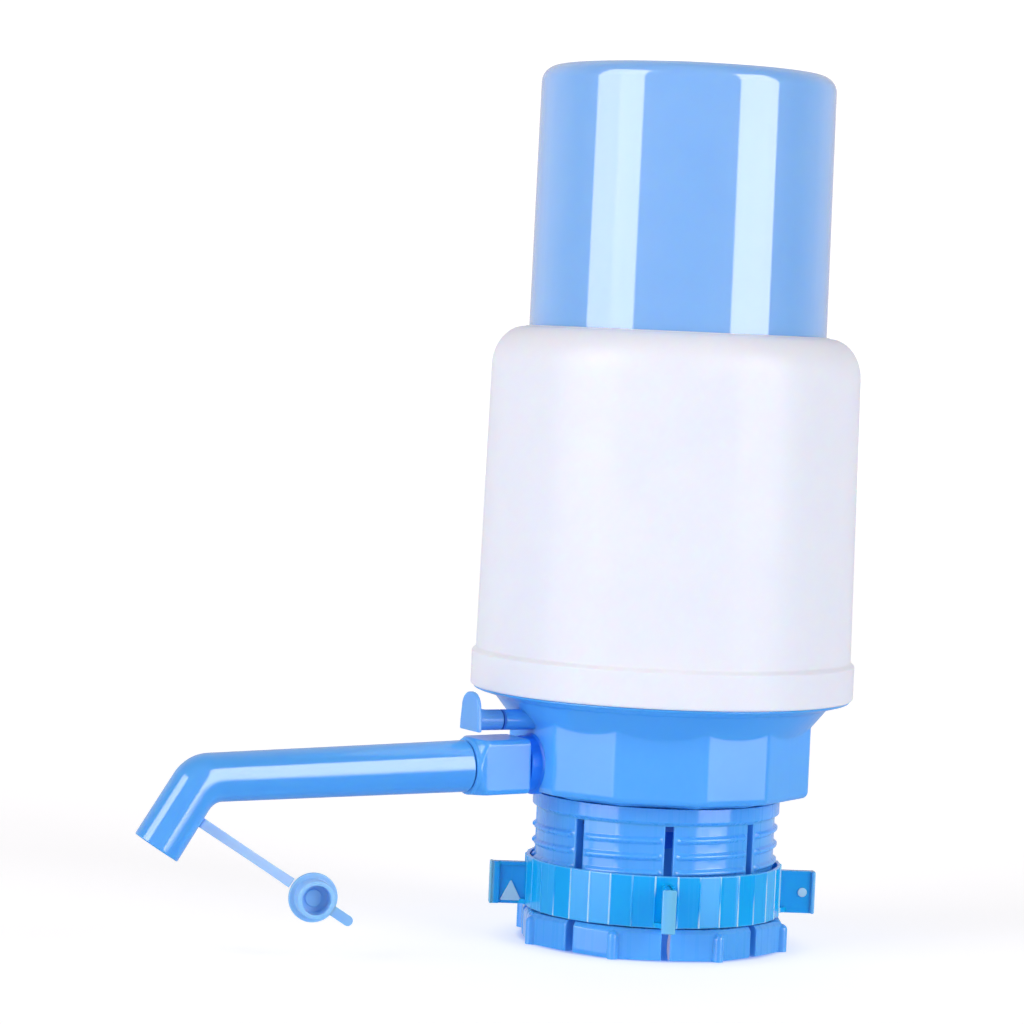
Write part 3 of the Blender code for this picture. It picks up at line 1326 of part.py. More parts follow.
def vent_spring(axis):
    """A short compression spring that pulls the lever shut, between the wall and the clip."""
    clip_end = VENT_STEM_END + VENT_KNOB_LENGTH + GAP + VENT_CLIP_THICKNESS
    near = clip_end + GAP + SPRING_WIRE_RADIUS
    far = BODY_INNER_RADIUS - SPRING_SEAT_ROOM - SPRING_WIRE_RADIUS
    curve = bpy.data.curves.new("vent_spring", "CURVE")
    curve.dimensions = "3D"
    curve.bevel_depth = SPRING_WIRE_RADIUS
    curve.bevel_resolution = 1
    curve.use_fill_caps = True
    steps = SPRING_TURNS * SPRING_STEPS
    spline = curve.splines.new("POLY")
    spline.points.add(steps)
    for step, point in enumerate(spline.points):
        place = polar(SPRING_RADIUS, 360 * step / SPRING_STEPS)
        run = near + (far - near) * step / steps
        point.co = (-run, place.x, VENT_Z + place.y, 1)
    curve.materials.append(finish(STAINLESS))
    made = bpy.data.objects.new("vent_spring", curve)
    made.parent = axis
    bpy.context.scene.collection.objects.link(made)


def build():
    clear_scene()
    mouth = spout_corner() + in_plane(SPOUT_DOWN_ANGLE, SPOUT_DOWN_RUN, TUBE_MOUTH_RADIUS)
    reach = -mouth.x
    axis = empty("pump_axis", ((reach - BAND_RADIUS) / 2, 0, 0))
    neck_collet(axis)
    neck_gasket(axis)
    lock_ring(axis)
    base_body(axis)
    stack_ring("plate_gasket", SILICONE, axis, GASKET_INNER_RADIUS, GASKET_Z, PLATE_GASKET)
    valve_plate(axis)
    umbrella_valve("outlet_valve", axis, PLATE_Z, PLATE_Z + PLATE_THICKNESS)
    bellows(axis)
    stack_ring("clamp_ring", NATURAL_PP, axis, CLAMP_INNER_RADIUS, CLAMP_Z, CLAMP_THICKNESS)
    bellows_plug(axis)
    umbrella_valve("inlet_valve", axis, PLUG_Z, PLUG_TOP)
    screws(axis)
    outer_shell(axis)
    push_cap(axis)
    riser_elbow(axis)
    riser_seal(axis)
    outlet_nipple(axis)
    nipple_oring("nipple_oring_inner", axis, INNER_ORING_STATION)
    nipple_oring("nipple_oring_outer", axis, CONNECTOR_START + OUTER_ORING_REACH)
    spout_connector(axis)
    spout_tube(axis)
    cap_strap(axis)
    spout_cap(axis)
    vent_lever(axis)
    washer_in = VENT_STEM_RADIUS + VENT_STEM_ROOM
    washer_start = VENT_BOSS_END + GAP
    vent_ring("vent_washer", BLACK_RUBBER, axis, washer_start, VENT_WASHER, washer_in, VENT_BAR_RADIUS)
    clip_start = VENT_STEM_END + VENT_KNOB_LENGTH + GAP
    clip_bore = VENT_STEM_RADIUS + SEAL_GAP
    vent_ring("vent_clip", STAINLESS, axis, clip_start, VENT_CLIP_THICKNESS, clip_bore, VENT_CLIP_RADIUS)
    vent_spring(axis)


build()
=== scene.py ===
# %% [markdown]
# A hand pump for water jugs
#
# The pump comes as plain solids from the CAD side. This lesson dresses them: it rebuilds each piece
# that shows with its soft moulded edges, and gives every piece a finish made of nodes. The solids
# stay where they are, and each new piece rides on the body that its solid belongs to.

import math

import bmesh
import bpy
from mathutils import Matrix, Vector


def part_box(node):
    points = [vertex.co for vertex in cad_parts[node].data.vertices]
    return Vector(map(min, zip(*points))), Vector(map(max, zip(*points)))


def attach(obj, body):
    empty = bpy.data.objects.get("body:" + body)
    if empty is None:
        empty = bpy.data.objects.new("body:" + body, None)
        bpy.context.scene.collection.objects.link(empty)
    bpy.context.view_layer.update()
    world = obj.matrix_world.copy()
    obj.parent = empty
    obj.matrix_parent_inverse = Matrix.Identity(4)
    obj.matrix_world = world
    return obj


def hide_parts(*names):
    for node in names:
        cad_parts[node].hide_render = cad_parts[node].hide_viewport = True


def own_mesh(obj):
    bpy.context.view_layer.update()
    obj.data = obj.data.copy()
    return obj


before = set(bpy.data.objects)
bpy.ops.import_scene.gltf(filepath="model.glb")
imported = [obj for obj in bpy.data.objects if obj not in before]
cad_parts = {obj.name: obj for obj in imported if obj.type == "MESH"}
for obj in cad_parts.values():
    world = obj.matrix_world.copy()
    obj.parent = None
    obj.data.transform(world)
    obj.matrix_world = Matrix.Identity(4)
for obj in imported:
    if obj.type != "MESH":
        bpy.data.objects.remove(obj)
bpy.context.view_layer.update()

# %% [markdown]
# The pump's own axis
#
# A maker of turned parts measures from the axis, in millimetres. The press cap is round, so the
# middle of its box gives the axis, and one matrix then takes every piece from millimetres about the
# axis to the metres of the scene.

# %% Millimetres about the axis
cap_low, cap_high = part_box("push_cap")
axis_x = (cap_low.x + cap_high.x) / 2
to_scene = Matrix.Translation((axis_x, 0, 0)) @ Matrix.Scale(0.001, 4)
print("axis at", round(axis_x, 6))

# %% [markdown]
# The camera
#
# The portrait was taken with a long lens from about a metre away, a little above the pump and from
# its front left, so the spout points to the left of the picture. The camera also leans by two and
# a half degrees. A long lens keeps the upright sides of the pump almost parallel.

# %% Set up the camera
sensor_mm, picture_pixels, lens_pixels = 36, 1024, 3675
pitch, roll, sight_turn = math.radians(2.785), math.radians(2.53), math.radians(61.0)
eye_height, eye_left, eye_distance = 0.1547, 0.0404, 0.943
sight = Vector((math.cos(sight_turn), math.sin(sight_turn), 0))
rightward = Vector((math.sin(sight_turn), -math.cos(sight_turn), 0))
camera_data = bpy.data.cameras.new("portrait_camera")
camera_data.sensor_width = sensor_mm
camera_data.lens = sensor_mm * lens_pixels / picture_pixels
camera = bpy.data.objects.new("portrait_camera", camera_data)
bpy.context.scene.collection.objects.link(camera)
stand = Vector((axis_x, 0, eye_height)) - rightward * eye_left - sight * eye_distance
look = sight * math.cos(pitch) - Vector((0, 0, math.sin(pitch)))
aim = look.to_track_quat("-Z", "Y").to_matrix().to_4x4()
camera.matrix_world = Matrix.Translation(stand) @ aim @ Matrix.Rotation(roll, 4, "Z")
bpy.context.scene.camera = camera
print("lens", round(camera_data.lens, 1), "mm")

# %% [markdown]
# Colours and nodes
#
# Colours are given as sRGB hex values, but the renderer works with linear light, so one function turns the
# one into the other. Another adds any kind of node: a plain value sets a socket, and another node's output
# is linked to it. The rest are short ways to the nodes that every finish here needs, such as noise, whose
# scale comes from the pattern's real size in millimetres.

# %% Colour and node helpers
def colour(code):
    """The linear colour of an sRGB hex value."""
    channels = []
    for place in (1, 3, 5):
        value = int(code[place:place + 2], 16) / 255
        channels.append(value / 12.92 if value <= 0.04045 else ((value + 0.055) / 1.055) ** 2.4)
    return (*channels, 1)


def fill(node, inputs):
    """Sets or links a node's inputs."""
    for socket, value in dict(inputs).items():
        if isinstance(value, bpy.types.NodeSocket):
            node.id_data.links.new(value, node.inputs[socket])
        else:
            node.inputs[socket].default_value = value
    return node


def add(tree, kind, inputs=(), **settings):
    """Adds a node with its settings and its inputs."""
    made = tree.nodes.new(kind)
    for name, value in settings.items():
        setattr(made, name, value)
    return fill(made, inputs)


def maths(tree, operation, *values):
    inputs = dict(enumerate(values))
    return add(tree, "ShaderNodeMath", inputs, operation=operation).outputs[0]


def remap(tree, value, start, stop, low, high, kind="LINEAR"):
    """Takes a value from one range to another and holds it at the ends."""
    inputs = {"Value": value, "From Min": start, "From Max": stop, "To Min": low, "To Max": high}
    return add(tree, "ShaderNodeMapRange", inputs, interpolation_type=kind).outputs[0]


def noise(tree, place, millimetres, detail):
    """Noise whose clouds are about this wide."""
    inputs = {"Vector": place, "Scale": 1000 / millimetres, "Detail": detail}
    return add(tree, "ShaderNodeTexNoise", inputs).outputs["Fac"]


def dents(tree, depth, strength, distance, **under):
    """Bumps up to a distance in metres deep, on top of the normal under them."""
    inputs = {"Height": depth, "Strength": strength, "Distance": distance, **under}
    return add(tree, "ShaderNodeBump", inputs).outputs[0]


def blend(tree, share, first, second):
    """Mixes two colours."""
    return add(tree, "ShaderNodeMix", {0: share, 6: first, 7: second}, data_type="RGBA").outputs[2]


def ramp(tree, value, first, last, *between):
    """A colour ramp with a position and a hex value at each end and between."""
    made = add(tree, "ShaderNodeValToRGB", {"Fac": value})
    stops = made.color_ramp.elements
    for stop, (position, code) in zip(stops, (first, last)):
        stop.position = position
        stop.color = colour(code)
    for position, code in between:
        stops.new(position).color = colour(code)
    return made.outputs[0]


def new_finish(name):
    """A new material, its tree and its shader."""
    made = bpy.data.materials.new(name)
    made.use_nodes = True
    return made, made.node_tree, made.node_tree.nodes["Principled BSDF"]


def object_place(tree):
    return add(tree, "ShaderNodeTexCoord").outputs["Object"]


print("a mid blue in linear light", [round(c, 3) for c in colour("#6FAAFB")])

# %% [markdown]
# The studio
#
# The picture has a white surround, two tall strip lights in front of the pump on its left and right,
# and hardly any shadow. The strips show as two pale bars on the polished cap. A light on a round
# side is mirrored at twice the angle of the surface, so bars that were measured at 18 to 38 degrees
# to the left and 19 to 36 to the right put the strips at 37 to 77 and 38 to 71 degrees.
# A sky made of nodes holds both strips, and stays soft and quick to render.

# %% Sky with two strip lights
sky = bpy.data.worlds.new("studio_sky")
bpy.context.scene.world = sky
sky.use_nodes = True
sky_tree = sky.node_tree
sky_tree.nodes.clear()
sky_place = add(sky_tree, "ShaderNodeTexCoord").outputs["Generated"]


def along_direction(direction):
    """How far the sky's direction points along one of our own."""
    inputs = {0: sky_place, 1: direction}
    return add(sky_tree, "ShaderNodeVectorMath", inputs, operation="DOT_PRODUCT").outputs["Value"]


rightness, behindness, upness = [along_direction(way) for way in (rightward, sight, (0, 0, 1))]
around = maths(sky_tree, "ARCTAN2", rightness, along_direction(-sight))


def strip(start, stop, soft, strength):
    """A strip of light between two angles in degrees round the pump."""
    middle, half = math.radians((start + stop) / 2), math.radians((stop - start) / 2)
    away = maths(sky_tree, "ABSOLUTE", maths(sky_tree, "SUBTRACT", around, middle))
    edge = math.radians(soft)
    return remap(sky_tree, away, half - edge, half + edge, strength, 0, "SMOOTHSTEP")


# The left strip is brighter towards the middle. Both end high up and fade before the floor
left_strip = maths(sky_tree, "ADD", strip(-77, -37, 1.2, 3.5), strip(-57, -37, 2.0, 0.6))
both_strips = maths(sky_tree, "ADD", left_strip, strip(38, 71, 1.2, 4.2))
below_top = remap(sky_tree, upness, 0.68, 0.71, 1, 0)
above_foot = remap(sky_tree, upness, -0.24, 0.0, 0, 1)
strips = maths(sky_tree, "MULTIPLY", both_strips, maths(sky_tree, "MULTIPLY", below_top, above_foot))
# The rest of the room is bright behind the pump, dim in front of it, and dimmer below the floor
behind = remap(sky_tree, behindness, 0.1, 0.7, 0.0, 0.52)
beside = remap(sky_tree, rightness, -1, 1, 0.17, 0.13)
ahead = maths(sky_tree, "ADD", beside, strip(-34, 38, 2.0, 0.12))
less_below = remap(sky_tree, upness, -0.6, -0.2, 0.4, 1)
room = maths(sky_tree, "MULTIPLY", maths(sky_tree, "ADD", behind, ahead), less_below)
glow = {"Color": colour("#FFF6FC"), "Strength": maths(sky_tree, "ADD", strips, room)}
light = add(sky_tree, "ShaderNodeBackground", glow)
add(sky_tree, "ShaderNodeOutputWorld", {"Surface": light.outputs[0]})
print("sky nodes", len(sky_tree.nodes))

# %% [markdown]
# The floor and the white surround
#
# The floor is a wide disc that is lit until it is almost white, and it glows as well. Near the foot its glow
# fades into a painted contact shadow, on top of the faint real one, and under the foot it is painted blue,
# standing in for light that has come through the plastic. In the picture the pump is darker from below than
# such a white floor would make it, so the camera sees one disc, and the light bounces off a duller one just
# under it.
# The surround is a dome that only the camera sees. All three are stage, not part of the pump.

# %% Floor and surround
def as_object(name, shape):
    """Puts a shape in the scene."""
    mesh = bpy.data.meshes.new(name)
    shape.to_mesh(mesh)
    shape.free()
    made = bpy.data.objects.new(name, mesh)
    bpy.context.scene.collection.objects.link(made)
    return made


def stage_finish(name, shade, glow, glow_shade="#FFFFFF"):
    """A dull paint that also glows by itself."""
    made, _, shader = new_finish(name)
    fill(shader, {"Base Color": colour(shade), "Roughness": 0.9})
    fill(shader, {"Emission Color": colour(glow_shade), "Emission Strength": glow})
    return made


def stage_piece(name, shape, finish):
    made = as_object(name, shape)
    made.data.materials.append(finish)
    return made


def disc(height):
    made = bmesh.new()
    bmesh.ops.create_circle(made, cap_ends=True, segments=96, radius=3.0)
    bmesh.ops.translate(made, verts=made.verts, vec=(axis_x, 0, height))
    return made


def only_for_camera(thing):
    """Takes a thing out of all light, so that only the camera sees it."""
    for ray in ("diffuse", "glossy", "transmission", "volume_scatter", "shadow"):
        setattr(thing, "visible_" + ray, False)


floor_finish = stage_finish("pale_floor", "#BABDBB", 0.67)
floor_tree = floor_finish.node_tree
ends = {0: object_place(floor_tree), 1: (axis_x, 0, 0)}
from_foot = add(floor_tree, "ShaderNodeVectorMath", ends, operation="DISTANCE").outputs["Value"]
# Painted shade: the floor's glow fades towards the foot into a painted contact shadow, and turns a painted
# blue under it
painted_shade_fade = remap(floor_tree, from_foot, 0.030, 0.044, 0, 1, "SMOOTHSTEP")
glow_with_painted_shade = ramp(floor_tree, painted_shade_fade, (0, "#2A6BD8"), (1, "#FFFFFF"), (0.3, "#E8ECF6"))
fill(floor_tree.nodes["Principled BSDF"], {"Emission Color": glow_with_painted_shade})
floor = stage_piece("floor", disc(-0.0001), floor_finish)
only_for_camera(floor)
bounce = stage_piece("bounce_floor", disc(-0.0003), stage_finish("bounce_floor", "#C4CDDD", 0.42, "#DCEAFF"))
bounce.visible_camera = False
bounce.visible_glossy = False
dome = bmesh.new()
bmesh.ops.create_icosphere(dome, subdivisions=4, radius=6.0)
surround_dome = stage_piece("surround", dome, stage_finish("white_surround", "#000000", 1.1))
only_for_camera(surround_dome)
bpy.context.scene.view_settings.view_transform = "Standard"
print("stage", floor.name, bounce.name, surround_dome.name)

# %% [markdown]
# Moulded plastic
#
# Nearly all of the pump is injection moulded. Such a skin is never quite even: the colour clouds
# a little where the melt flowed, the polish of the mould leaves faint streaks along the direction
# in which the piece was pulled out, and a very fine grain breaks up the reflections. One function
# makes that skin, and each plastic gives it its own two shades, gloss and depth. A thin skin of
# light plastic also lets some light wander inside, which keeps shadows blue instead of grey.

# %% Moulded plastic function
def moulded_plastic(name, pair, gloss, index, wander, polish=(0.0, 0.06, 1.5), shine=0.5):
    """Two shades, low and high roughness, IOR, and how far light wanders inside in millimetres.

    The polish is the weight, roughness and IOR of the mirror skin, and shine is the gloss under it.
    """
    made, tree, shader = new_finish(name)
    place = object_place(tree)
    # Clouds in the colour, about 14 mm wide, as the melt leaves them round a gate
    tint = blend(tree, noise(tree, place, 14, 2.0), colour(pair[0]), colour(pair[1]))
    # Streaks of the mould's polish, really 0.1 mm apart and drawn 1.5 mm apart so that they show
    pulled = add(tree, "ShaderNodeMapping", {"Vector": place, "Scale": (1, 1, 0.02)}).outputs[0]
    rough = remap(tree, noise(tree, pulled, 1.5, 1.0), 0.3, 0.7, *gloss)
    # Grain of the skin, really about 0.05 mm and drawn at 0.8 mm, and slow waves of the wall
    fine = dents(tree, noise(tree, place, 0.8, 0.0), 0.08, 0.00002)
    sink = dents(tree, noise(tree, place, 9, 1.0), 0.2, 0.0002, Normal=fine)
    fill(shader, {"Base Color": tint, "Roughness": rough, "Normal": sink})
    fill(shader, {"IOR": index, "Specular IOR Level": shine, "Subsurface Scale": wander / 1000})
    fill(shader, {"Subsurface Weight": 0.6, "Subsurface Radius": (0.25, 0.6, 1.0)})
    fill(shader, zip(("Coat Weight", "Coat Roughness", "Coat IOR"), polish))
    made.diffuse_color = colour(pair[0])
    return made


print("moulded plastic is ready")

# %% [markdown]
# The plastics of this pump
#
# The cap, body, collar and spout are a light blue ABS, which takes a high polish. The lever, strap
# and little stopper are a softer and paler polyethylene. The casing is white polypropylene with
# a silky skin, and the clamping nut is a clear cyan polypropylene that the light sinks into.

# %% Make the plastics
abs_index, pe_index, pp_index = 1.54, 1.51, 1.49
# ABS from a mirror-bright mould: clean, hard-edged bars of light over a soft light blue
polished_abs = moulded_plastic(
    "polished_blue_abs", ("#8BC4FC", "#82BEFA"), (0.36, 0.46), abs_index, 0.8, (1.0, 0.03, 1.9), 0.3
)
# ABS from a plain mould: deep, even blue, where each flat facet shows as one calm step of tone
moulded_abs = moulded_plastic(
    "moulded_blue_abs", ("#5CB6FE", "#52AEFC"), (0.28, 0.38), abs_index, 0.8, (0.3, 0.08, 2.4), 0.15
)
# The same on the round spout, a little glossier: one soft white line runs along the tube
spout_abs = moulded_plastic(
    "spout_blue_abs", ("#5AB4FD", "#50ACFC"), (0.28, 0.38), abs_index, 0.8, (0.55, 0.10, 2.4), 0.15
)
# ABS in a darker, stronger blue: painted shade in the gap behind the spout, and on the elbow inside
painted_shade_abs = moulded_plastic(
    "painted_shade_blue_abs", ("#2890FF", "#1E86FF"), (0.30, 0.40), abs_index, 0.8, (0.2, 0.12, 1.5), 0.3
)
# ABS of the threaded fingers: each ridge catches a thin glint, and the slots stay deep blue
clamp_abs = moulded_plastic(
    "clamp_blue_abs", ("#5AB6FD", "#4EAEFB"), (0.24, 0.34), abs_index, 0.8, (0.4, 0.10, 2.4), 0.15
)
# Polyethylene of the lever: waxy and paler than the body, with blurred highlights
soft_pe = moulded_plastic(
    "soft_pale_blue_pe", ("#72BAF7", "#66B1F5"), (0.34, 0.46), pe_index, 1.0, (0.4, 0.15, 1.6)
)
# The stopper's thin walls let light through, so they look paler still
thin_pe = moulded_plastic(
    "thin_pale_blue_pe", ("#98D0F9", "#8CC8F7"), (0.34, 0.46), pe_index, 1.2, (0.4, 0.15, 1.6)
)
# The strap is the thinnest piece and almost glows against the white
strap_pe = moulded_plastic(
    "strap_pale_blue_pe", ("#B4D8FA", "#A8CFF8"), (0.34, 0.46), pe_index, 1.6, (0.4, 0.15, 1.6)
)
# White polypropylene from a fine-ground mould: a milky white with only a silky sheen
silky_pp = moulded_plastic(
    "silky_white_pp", ("#F0F6F8", "#EBF1F5"), (0.36, 0.46), pp_index, 1.0, (0.12, 0.12, 1.6)
)
# Clear dyed polypropylene: the strongest colour of all, like tinted glass with a wet-looking skin
clear_cyan_pp = moulded_plastic(
    "clear_cyan_pp", ("#00B8F6", "#00ADEE"), (0.20, 0.30), pp_index, 0.8, (0.4, 0.04, 2.2), 0.1
)
# The raised marks are painted almost white, a painted highlight on their faces
painted_highlight_cyan_pp = moulded_plastic(
    "painted_highlight_cyan_pp", ("#C8ECFA", "#BCE4F8"), (0.20, 0.30), pp_index, 0.8, (0.6, 0.05, 1.6)
)
# Undyed polypropylene of the plates inside: greyish and milky, with a soft edge to its shadows
natural_pp = moulded_plastic("natural_milky_pp", ("#E4E7EA", "#D8DCE0"), (0.35, 0.5), pp_index, 3.0)
print("plastics", len(bpy.data.materials))

# %% [markdown]
# A matt top for the cap
#
# The sides of the cap are polished, but a hand has to push on its top without slipping. So the
# mould leaves the top matt: the polished skin fades out where the round edge turns level.

# %% Fade the polish out over the top
cap_tree = polished_abs.node_tree
cap_height = add(cap_tree, "ShaderNodeSeparateXYZ", {0: object_place(cap_tree)}).outputs["Z"]
cap_polish = remap(cap_tree, cap_height, 0.2228, 0.2233, 1.0, 0.05)
fill(cap_tree.nodes["Principled BSDF"], {"Coat Weight": cap_polish})
print("cap nodes", len(cap_tree.nodes))

# %% [markdown]
# Painted light in the edges of the clear nut
#
# Clear plastic leads light inside it and lets it out at its edges. That light is painted here: the fine
# lines on the nut, its two rims and the tips of its wings get a paler colour than its flat sides, a painted
# highlight. The direction about the axis gives the lines, which are ten degrees apart, and the distance from
# it the tips.

# %% Painted highlights on the cyan's edges
nut_tree = clear_cyan_pp.node_tree
nut_shader = nut_tree.nodes["Principled BSDF"]
nut_place = object_place(nut_tree)
nut_and_axis = {0: nut_place, 1: (axis_x, 0, 0)}
from_axis = add(nut_tree, "ShaderNodeVectorMath", nut_and_axis, operation="SUBTRACT").outputs[0]
spot = add(nut_tree, "ShaderNodeSeparateXYZ", {0: from_axis}).outputs


def nut_maths(operation, *values):
    return maths(nut_tree, operation, *values)


def rise(value, start, stop, strength):
    """Goes softly from 0 at one value to a strength at another."""
    return remap(nut_tree, value, start, stop, 0, strength, "SMOOTHSTEP")


sides_per_radian, nut_middle = 18 / math.pi, 0.0147
side_count = nut_maths("MULTIPLY", nut_maths("ARCTAN2", spot["Y"], spot["X"]), sides_per_radian)
from_line = nut_maths("PINGPONG", side_count, 0.5)
reach = nut_maths("SQRT", nut_maths("ADD", *[nut_maths("POWER", spot[name], 2) for name in "XY"]))
from_middle = nut_maths("ABSOLUTE", nut_maths("SUBTRACT", spot["Z"], nut_middle))
glints = noise(nut_tree, nut_place, 11, 0.0)
# Painted highlights on the edge lines, rims and wing tips, with the glint noise breaking up the lines
lines = nut_maths("MULTIPLY", rise(from_line, 0.055, 0.02, 0.9), rise(glints, 0.35, 0.6, 1.0))
rims = rise(from_middle, 0.0061, 0.0064, 0.2)
tips = rise(reach, 0.0408, 0.0414, 0.32)
edges = nut_maths("MAXIMUM", nut_maths("MAXIMUM", lines, rims), tips)
plain_cyan = nut_shader.inputs["Base Color"].links[0].from_socket
# The painted highlights mix a near-white cyan into the plain cyan
fill(nut_shader, {"Base Color": blend(nut_tree, edges, plain_cyan, colour("#C4ECFC"))})
print("nut nodes", len(nut_tree.nodes))

# %% [markdown]
# Rubber and steel
#
# The seals are silicone and nitrile rubber, which are matt and slightly dusty. The screws, clip
# and spring are stainless steel, and turned or drawn metal shows fine lines that spread
# its highlights.

# %% Make the rubbers and the steel
def dusty_rubber(name, shade, dust_shade, rough, index):
    """Matt rubber with a breath of talc on it."""
    made, tree, shader = new_finish(name)
    place = object_place(tree)
    dust = noise(tree, place, 3, 5.0)
    # Pores, really about 0.1 mm wide and drawn at 0.4 mm
    pores = dents(tree, noise(tree, place, 0.4, 2.0), 0.2, 0.00004)
    fill(shader, {"Base Color": ramp(tree, dust, (0.45, shade), (0.8, dust_shade)), "Normal": pores})
    fill(shader, {"Roughness": remap(tree, dust, 0, 1, rough - 0.08, rough + 0.12), "IOR": index})
    made.diffuse_color = colour(shade)
    return made


def drawn_steel(name):
    """Bright metal with the faint lines of the tool."""
    made, tree, shader = new_finish(name)
    place = object_place(tree)
    # Tool marks, really 0.05 mm apart and drawn at 0.2 mm
    marks = noise(tree, place, 0.2, 3.0)
    stain = ramp(tree, noise(tree, place, 4, 2.0), (0, "#C6C8CB"), (1, "#D6D8DA"))
    fill(shader, {"Base Color": stain, "Roughness": remap(tree, marks, 0, 1, 0.2, 0.38)})
    fill(shader, {"Normal": dents(tree, marks, 0.15, 0.00002), "Metallic": 1.0})
    return made


# Cast silicone: soft grey-white and matt, with no hard highlight anywhere
pale_silicone = dusty_rubber("pale_silicone", "#D9DCE0", "#E6E8EA", 0.5, 1.41)
# Pressed nitrile rubber: a dull black that the dust lifts to dark grey
black_rubber = dusty_rubber("black_nitrile_rubber", "#1C1D20", "#3A3C40", 0.6, 1.52)
# Silicone under the ceiling in a quiet blue: a painted shade that fills the view into the slots
painted_shade_silicone = dusty_rubber("painted_shade_silicone", "#3B78CC", "#5288D4", 0.5, 1.41)
# Dyed rubber of the lever's washer: one thin dark line across the bar
dark_rubber = dusty_rubber("dark_blue_rubber", "#3A7EDC", "#4A8CE4", 0.55, 1.52)
# Drawn steel wire and turned screws: small bright glints that the tool marks soften
stainless = drawn_steel("drawn_stainless_steel")
print("finishes", len(bpy.data.materials))

# %% [markdown]
# From outlines to meshes
#
# A mould has no sharp corners, and the tiny round edges are what catch the light. So outlines are
# written as corners with a radius each, and one function rounds them. A skin function joins rings
# of points into faces, and a turning function spins an outline about the axis, as a lathe would.

# %% Outline and skin helpers
def polar(radius, degrees, height=0.0):
    turn = math.radians(degrees)
    return Vector((radius * math.cos(turn), radius * math.sin(turn), height))


def eased(corners, steps=4):
    """A closed outline whose (x, y, radius) corners are rounded, as far as their sides have room."""
    places = [Vector(corner[:2]) for corner in corners]
    sides = [(places[i - 1] - here, places[(i + 1) % len(places)] - here) for i, here in enumerate(places)]
    reaches = []
    for (before, after), corner in zip(sides, corners):
        reaches.append(corner[2] / math.tan(before.angle(after) / 2) if corner[2] else 0)
    points = []
    for index, here in enumerate(places):
        if not reaches[index]:
            points.append(here)
            continue
        before, after = sides[index]
        low_room = 0.98 * before.length / (reaches[index] + reaches[index - 1])
        high_room = 0.98 * after.length / (reaches[index] + reaches[(index + 1) % len(places)])
        reach = reaches[index] * min(1, low_room, high_room)
        middle = (before.normalized() + after.normalized()).normalized()
        centre = here + middle * (reach / math.cos(before.angle(after) / 2))
        start = here + before.normalized() * reach - centre
        stop = here + after.normalized() * reach - centre
        sweep = start.angle_signed(stop)
        for step in range(steps + 1):
            points.append(centre + Matrix.Rotation(-sweep * step / steps, 2) @ start)
    return points


def skin(rings, capped=False):
    """Faces between rings of points. Both ends are capped, or the last ring joins the first."""
    shape = bmesh.new()
    rows = [[shape.verts.new(point) for point in ring] for ring in rings]
    pairs = list(zip(rows, rows[1:]))
    if capped:
        shape.faces.new(rows[0])
        shape.faces.new(rows[-1])
    else:
        pairs.append((rows[-1], rows[0]))
    for low, high in pairs:
        for index, point in enumerate(low):
            after = (index + 1) % len(low)
            shape.faces.new((point, low[after], high[after], high[index]))
    bmesh.ops.remove_doubles(shape, verts=shape.verts, dist=0.00001)
    bmesh.ops.recalc_face_normals(shape, faces=shape.faces)
    return shape


def turned(outline, sides):
    """A closed (radius, height) outline turned about the axis."""
    angles = [360 * index / sides for index in range(sides)]
    return skin([[polar(r, angle, z) for r, z in outline] for angle in angles])


def lathed(corners, sides, steps=4):
    """An outline of (radius, height, rounding) corners, rounded and turned."""
    return turned(eased(corners, steps), sides)


def moved(shape, matrix):
    bmesh.ops.transform(shape, matrix=matrix, verts=shape.verts)
    return shape


def gathered(shapes):
    """Several shapes in one, each still closed by itself."""
    whole = bmesh.new()
    for shape in shapes:
        holder = bpy.data.meshes.new("holder")
        shape.to_mesh(holder)
        shape.free()
        whole.from_mesh(holder)
        bpy.data.meshes.remove(holder)
    return whole


def show(name, shape, body, finish, solids, sharp=38):
    """Puts a shape in the scene on its body, in place of its solids."""
    made = as_object(name, moved(shape, to_scene))
    made.data.shade_smooth()
    made.data.set_sharp_from_angle(angle=math.radians(sharp))
    made.data.materials.append(finish)
    even = made.modifiers.new("even_normals", "WEIGHTED_NORMAL")
    even.keep_sharp = True
    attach(made, body)
    if solids:
        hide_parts(*solids)
    print(name, len(made.data.polygons), "faces on", body)
    return made


test_square = [(0, 0, 1), (4, 0, 1), (4, 4, 1), (0, 4, 1)]
print("an eased square has", len(eased(test_square)), "points")

# %% [markdown]
# The press cap
#
# The blue dome is what a hand pushes. It is a thin cup with a round edge and a slightly crowned
# top, a hair wider at its foot so that it leaves the mould. Its stop flange hides under the casing.
# Turning one outline of the whole wall, inside and out, makes it in one go.

# %% Turn the press cap
cap_corners = [
    # Stop flange
    (36.3, 152.6, 0.2), (39.3, 152.6, 0.3), (39.3, 154.9, 0.3), (38.1, 154.9, 0.2),
    # Side, round edge and crowned top
    (38.1, 157.0, 0), (37.65, 223.1, 4.2), (28, 223.65, 60), (20, 224.4, 60), (12, 225.0, 60), (0, 225.3, 0),
    # Underside, with the rib that holds the bellows' plug
    (0, 222.8, 0), (26.0, 222.8, 0.3), (26.0, 220.4, 0.3), (28.0, 220.4, 0.3), (28.0, 222.8, 0.3),
    # Inside of the wall
    (35.6, 222.8, 6.0), (36.3, 157.0, 0),
]
show("press_cap", lathed(cap_corners, 160, 12), "plunger", polished_abs, ["push_cap"])

# %% [markdown]
# The white casing
#
# The casing is a sleeve with a slight draft, a long round shoulder that closes in on the cap, and
# a thicker band round its foot, which has its own small step. The outline follows the wall
# round and back up inside.

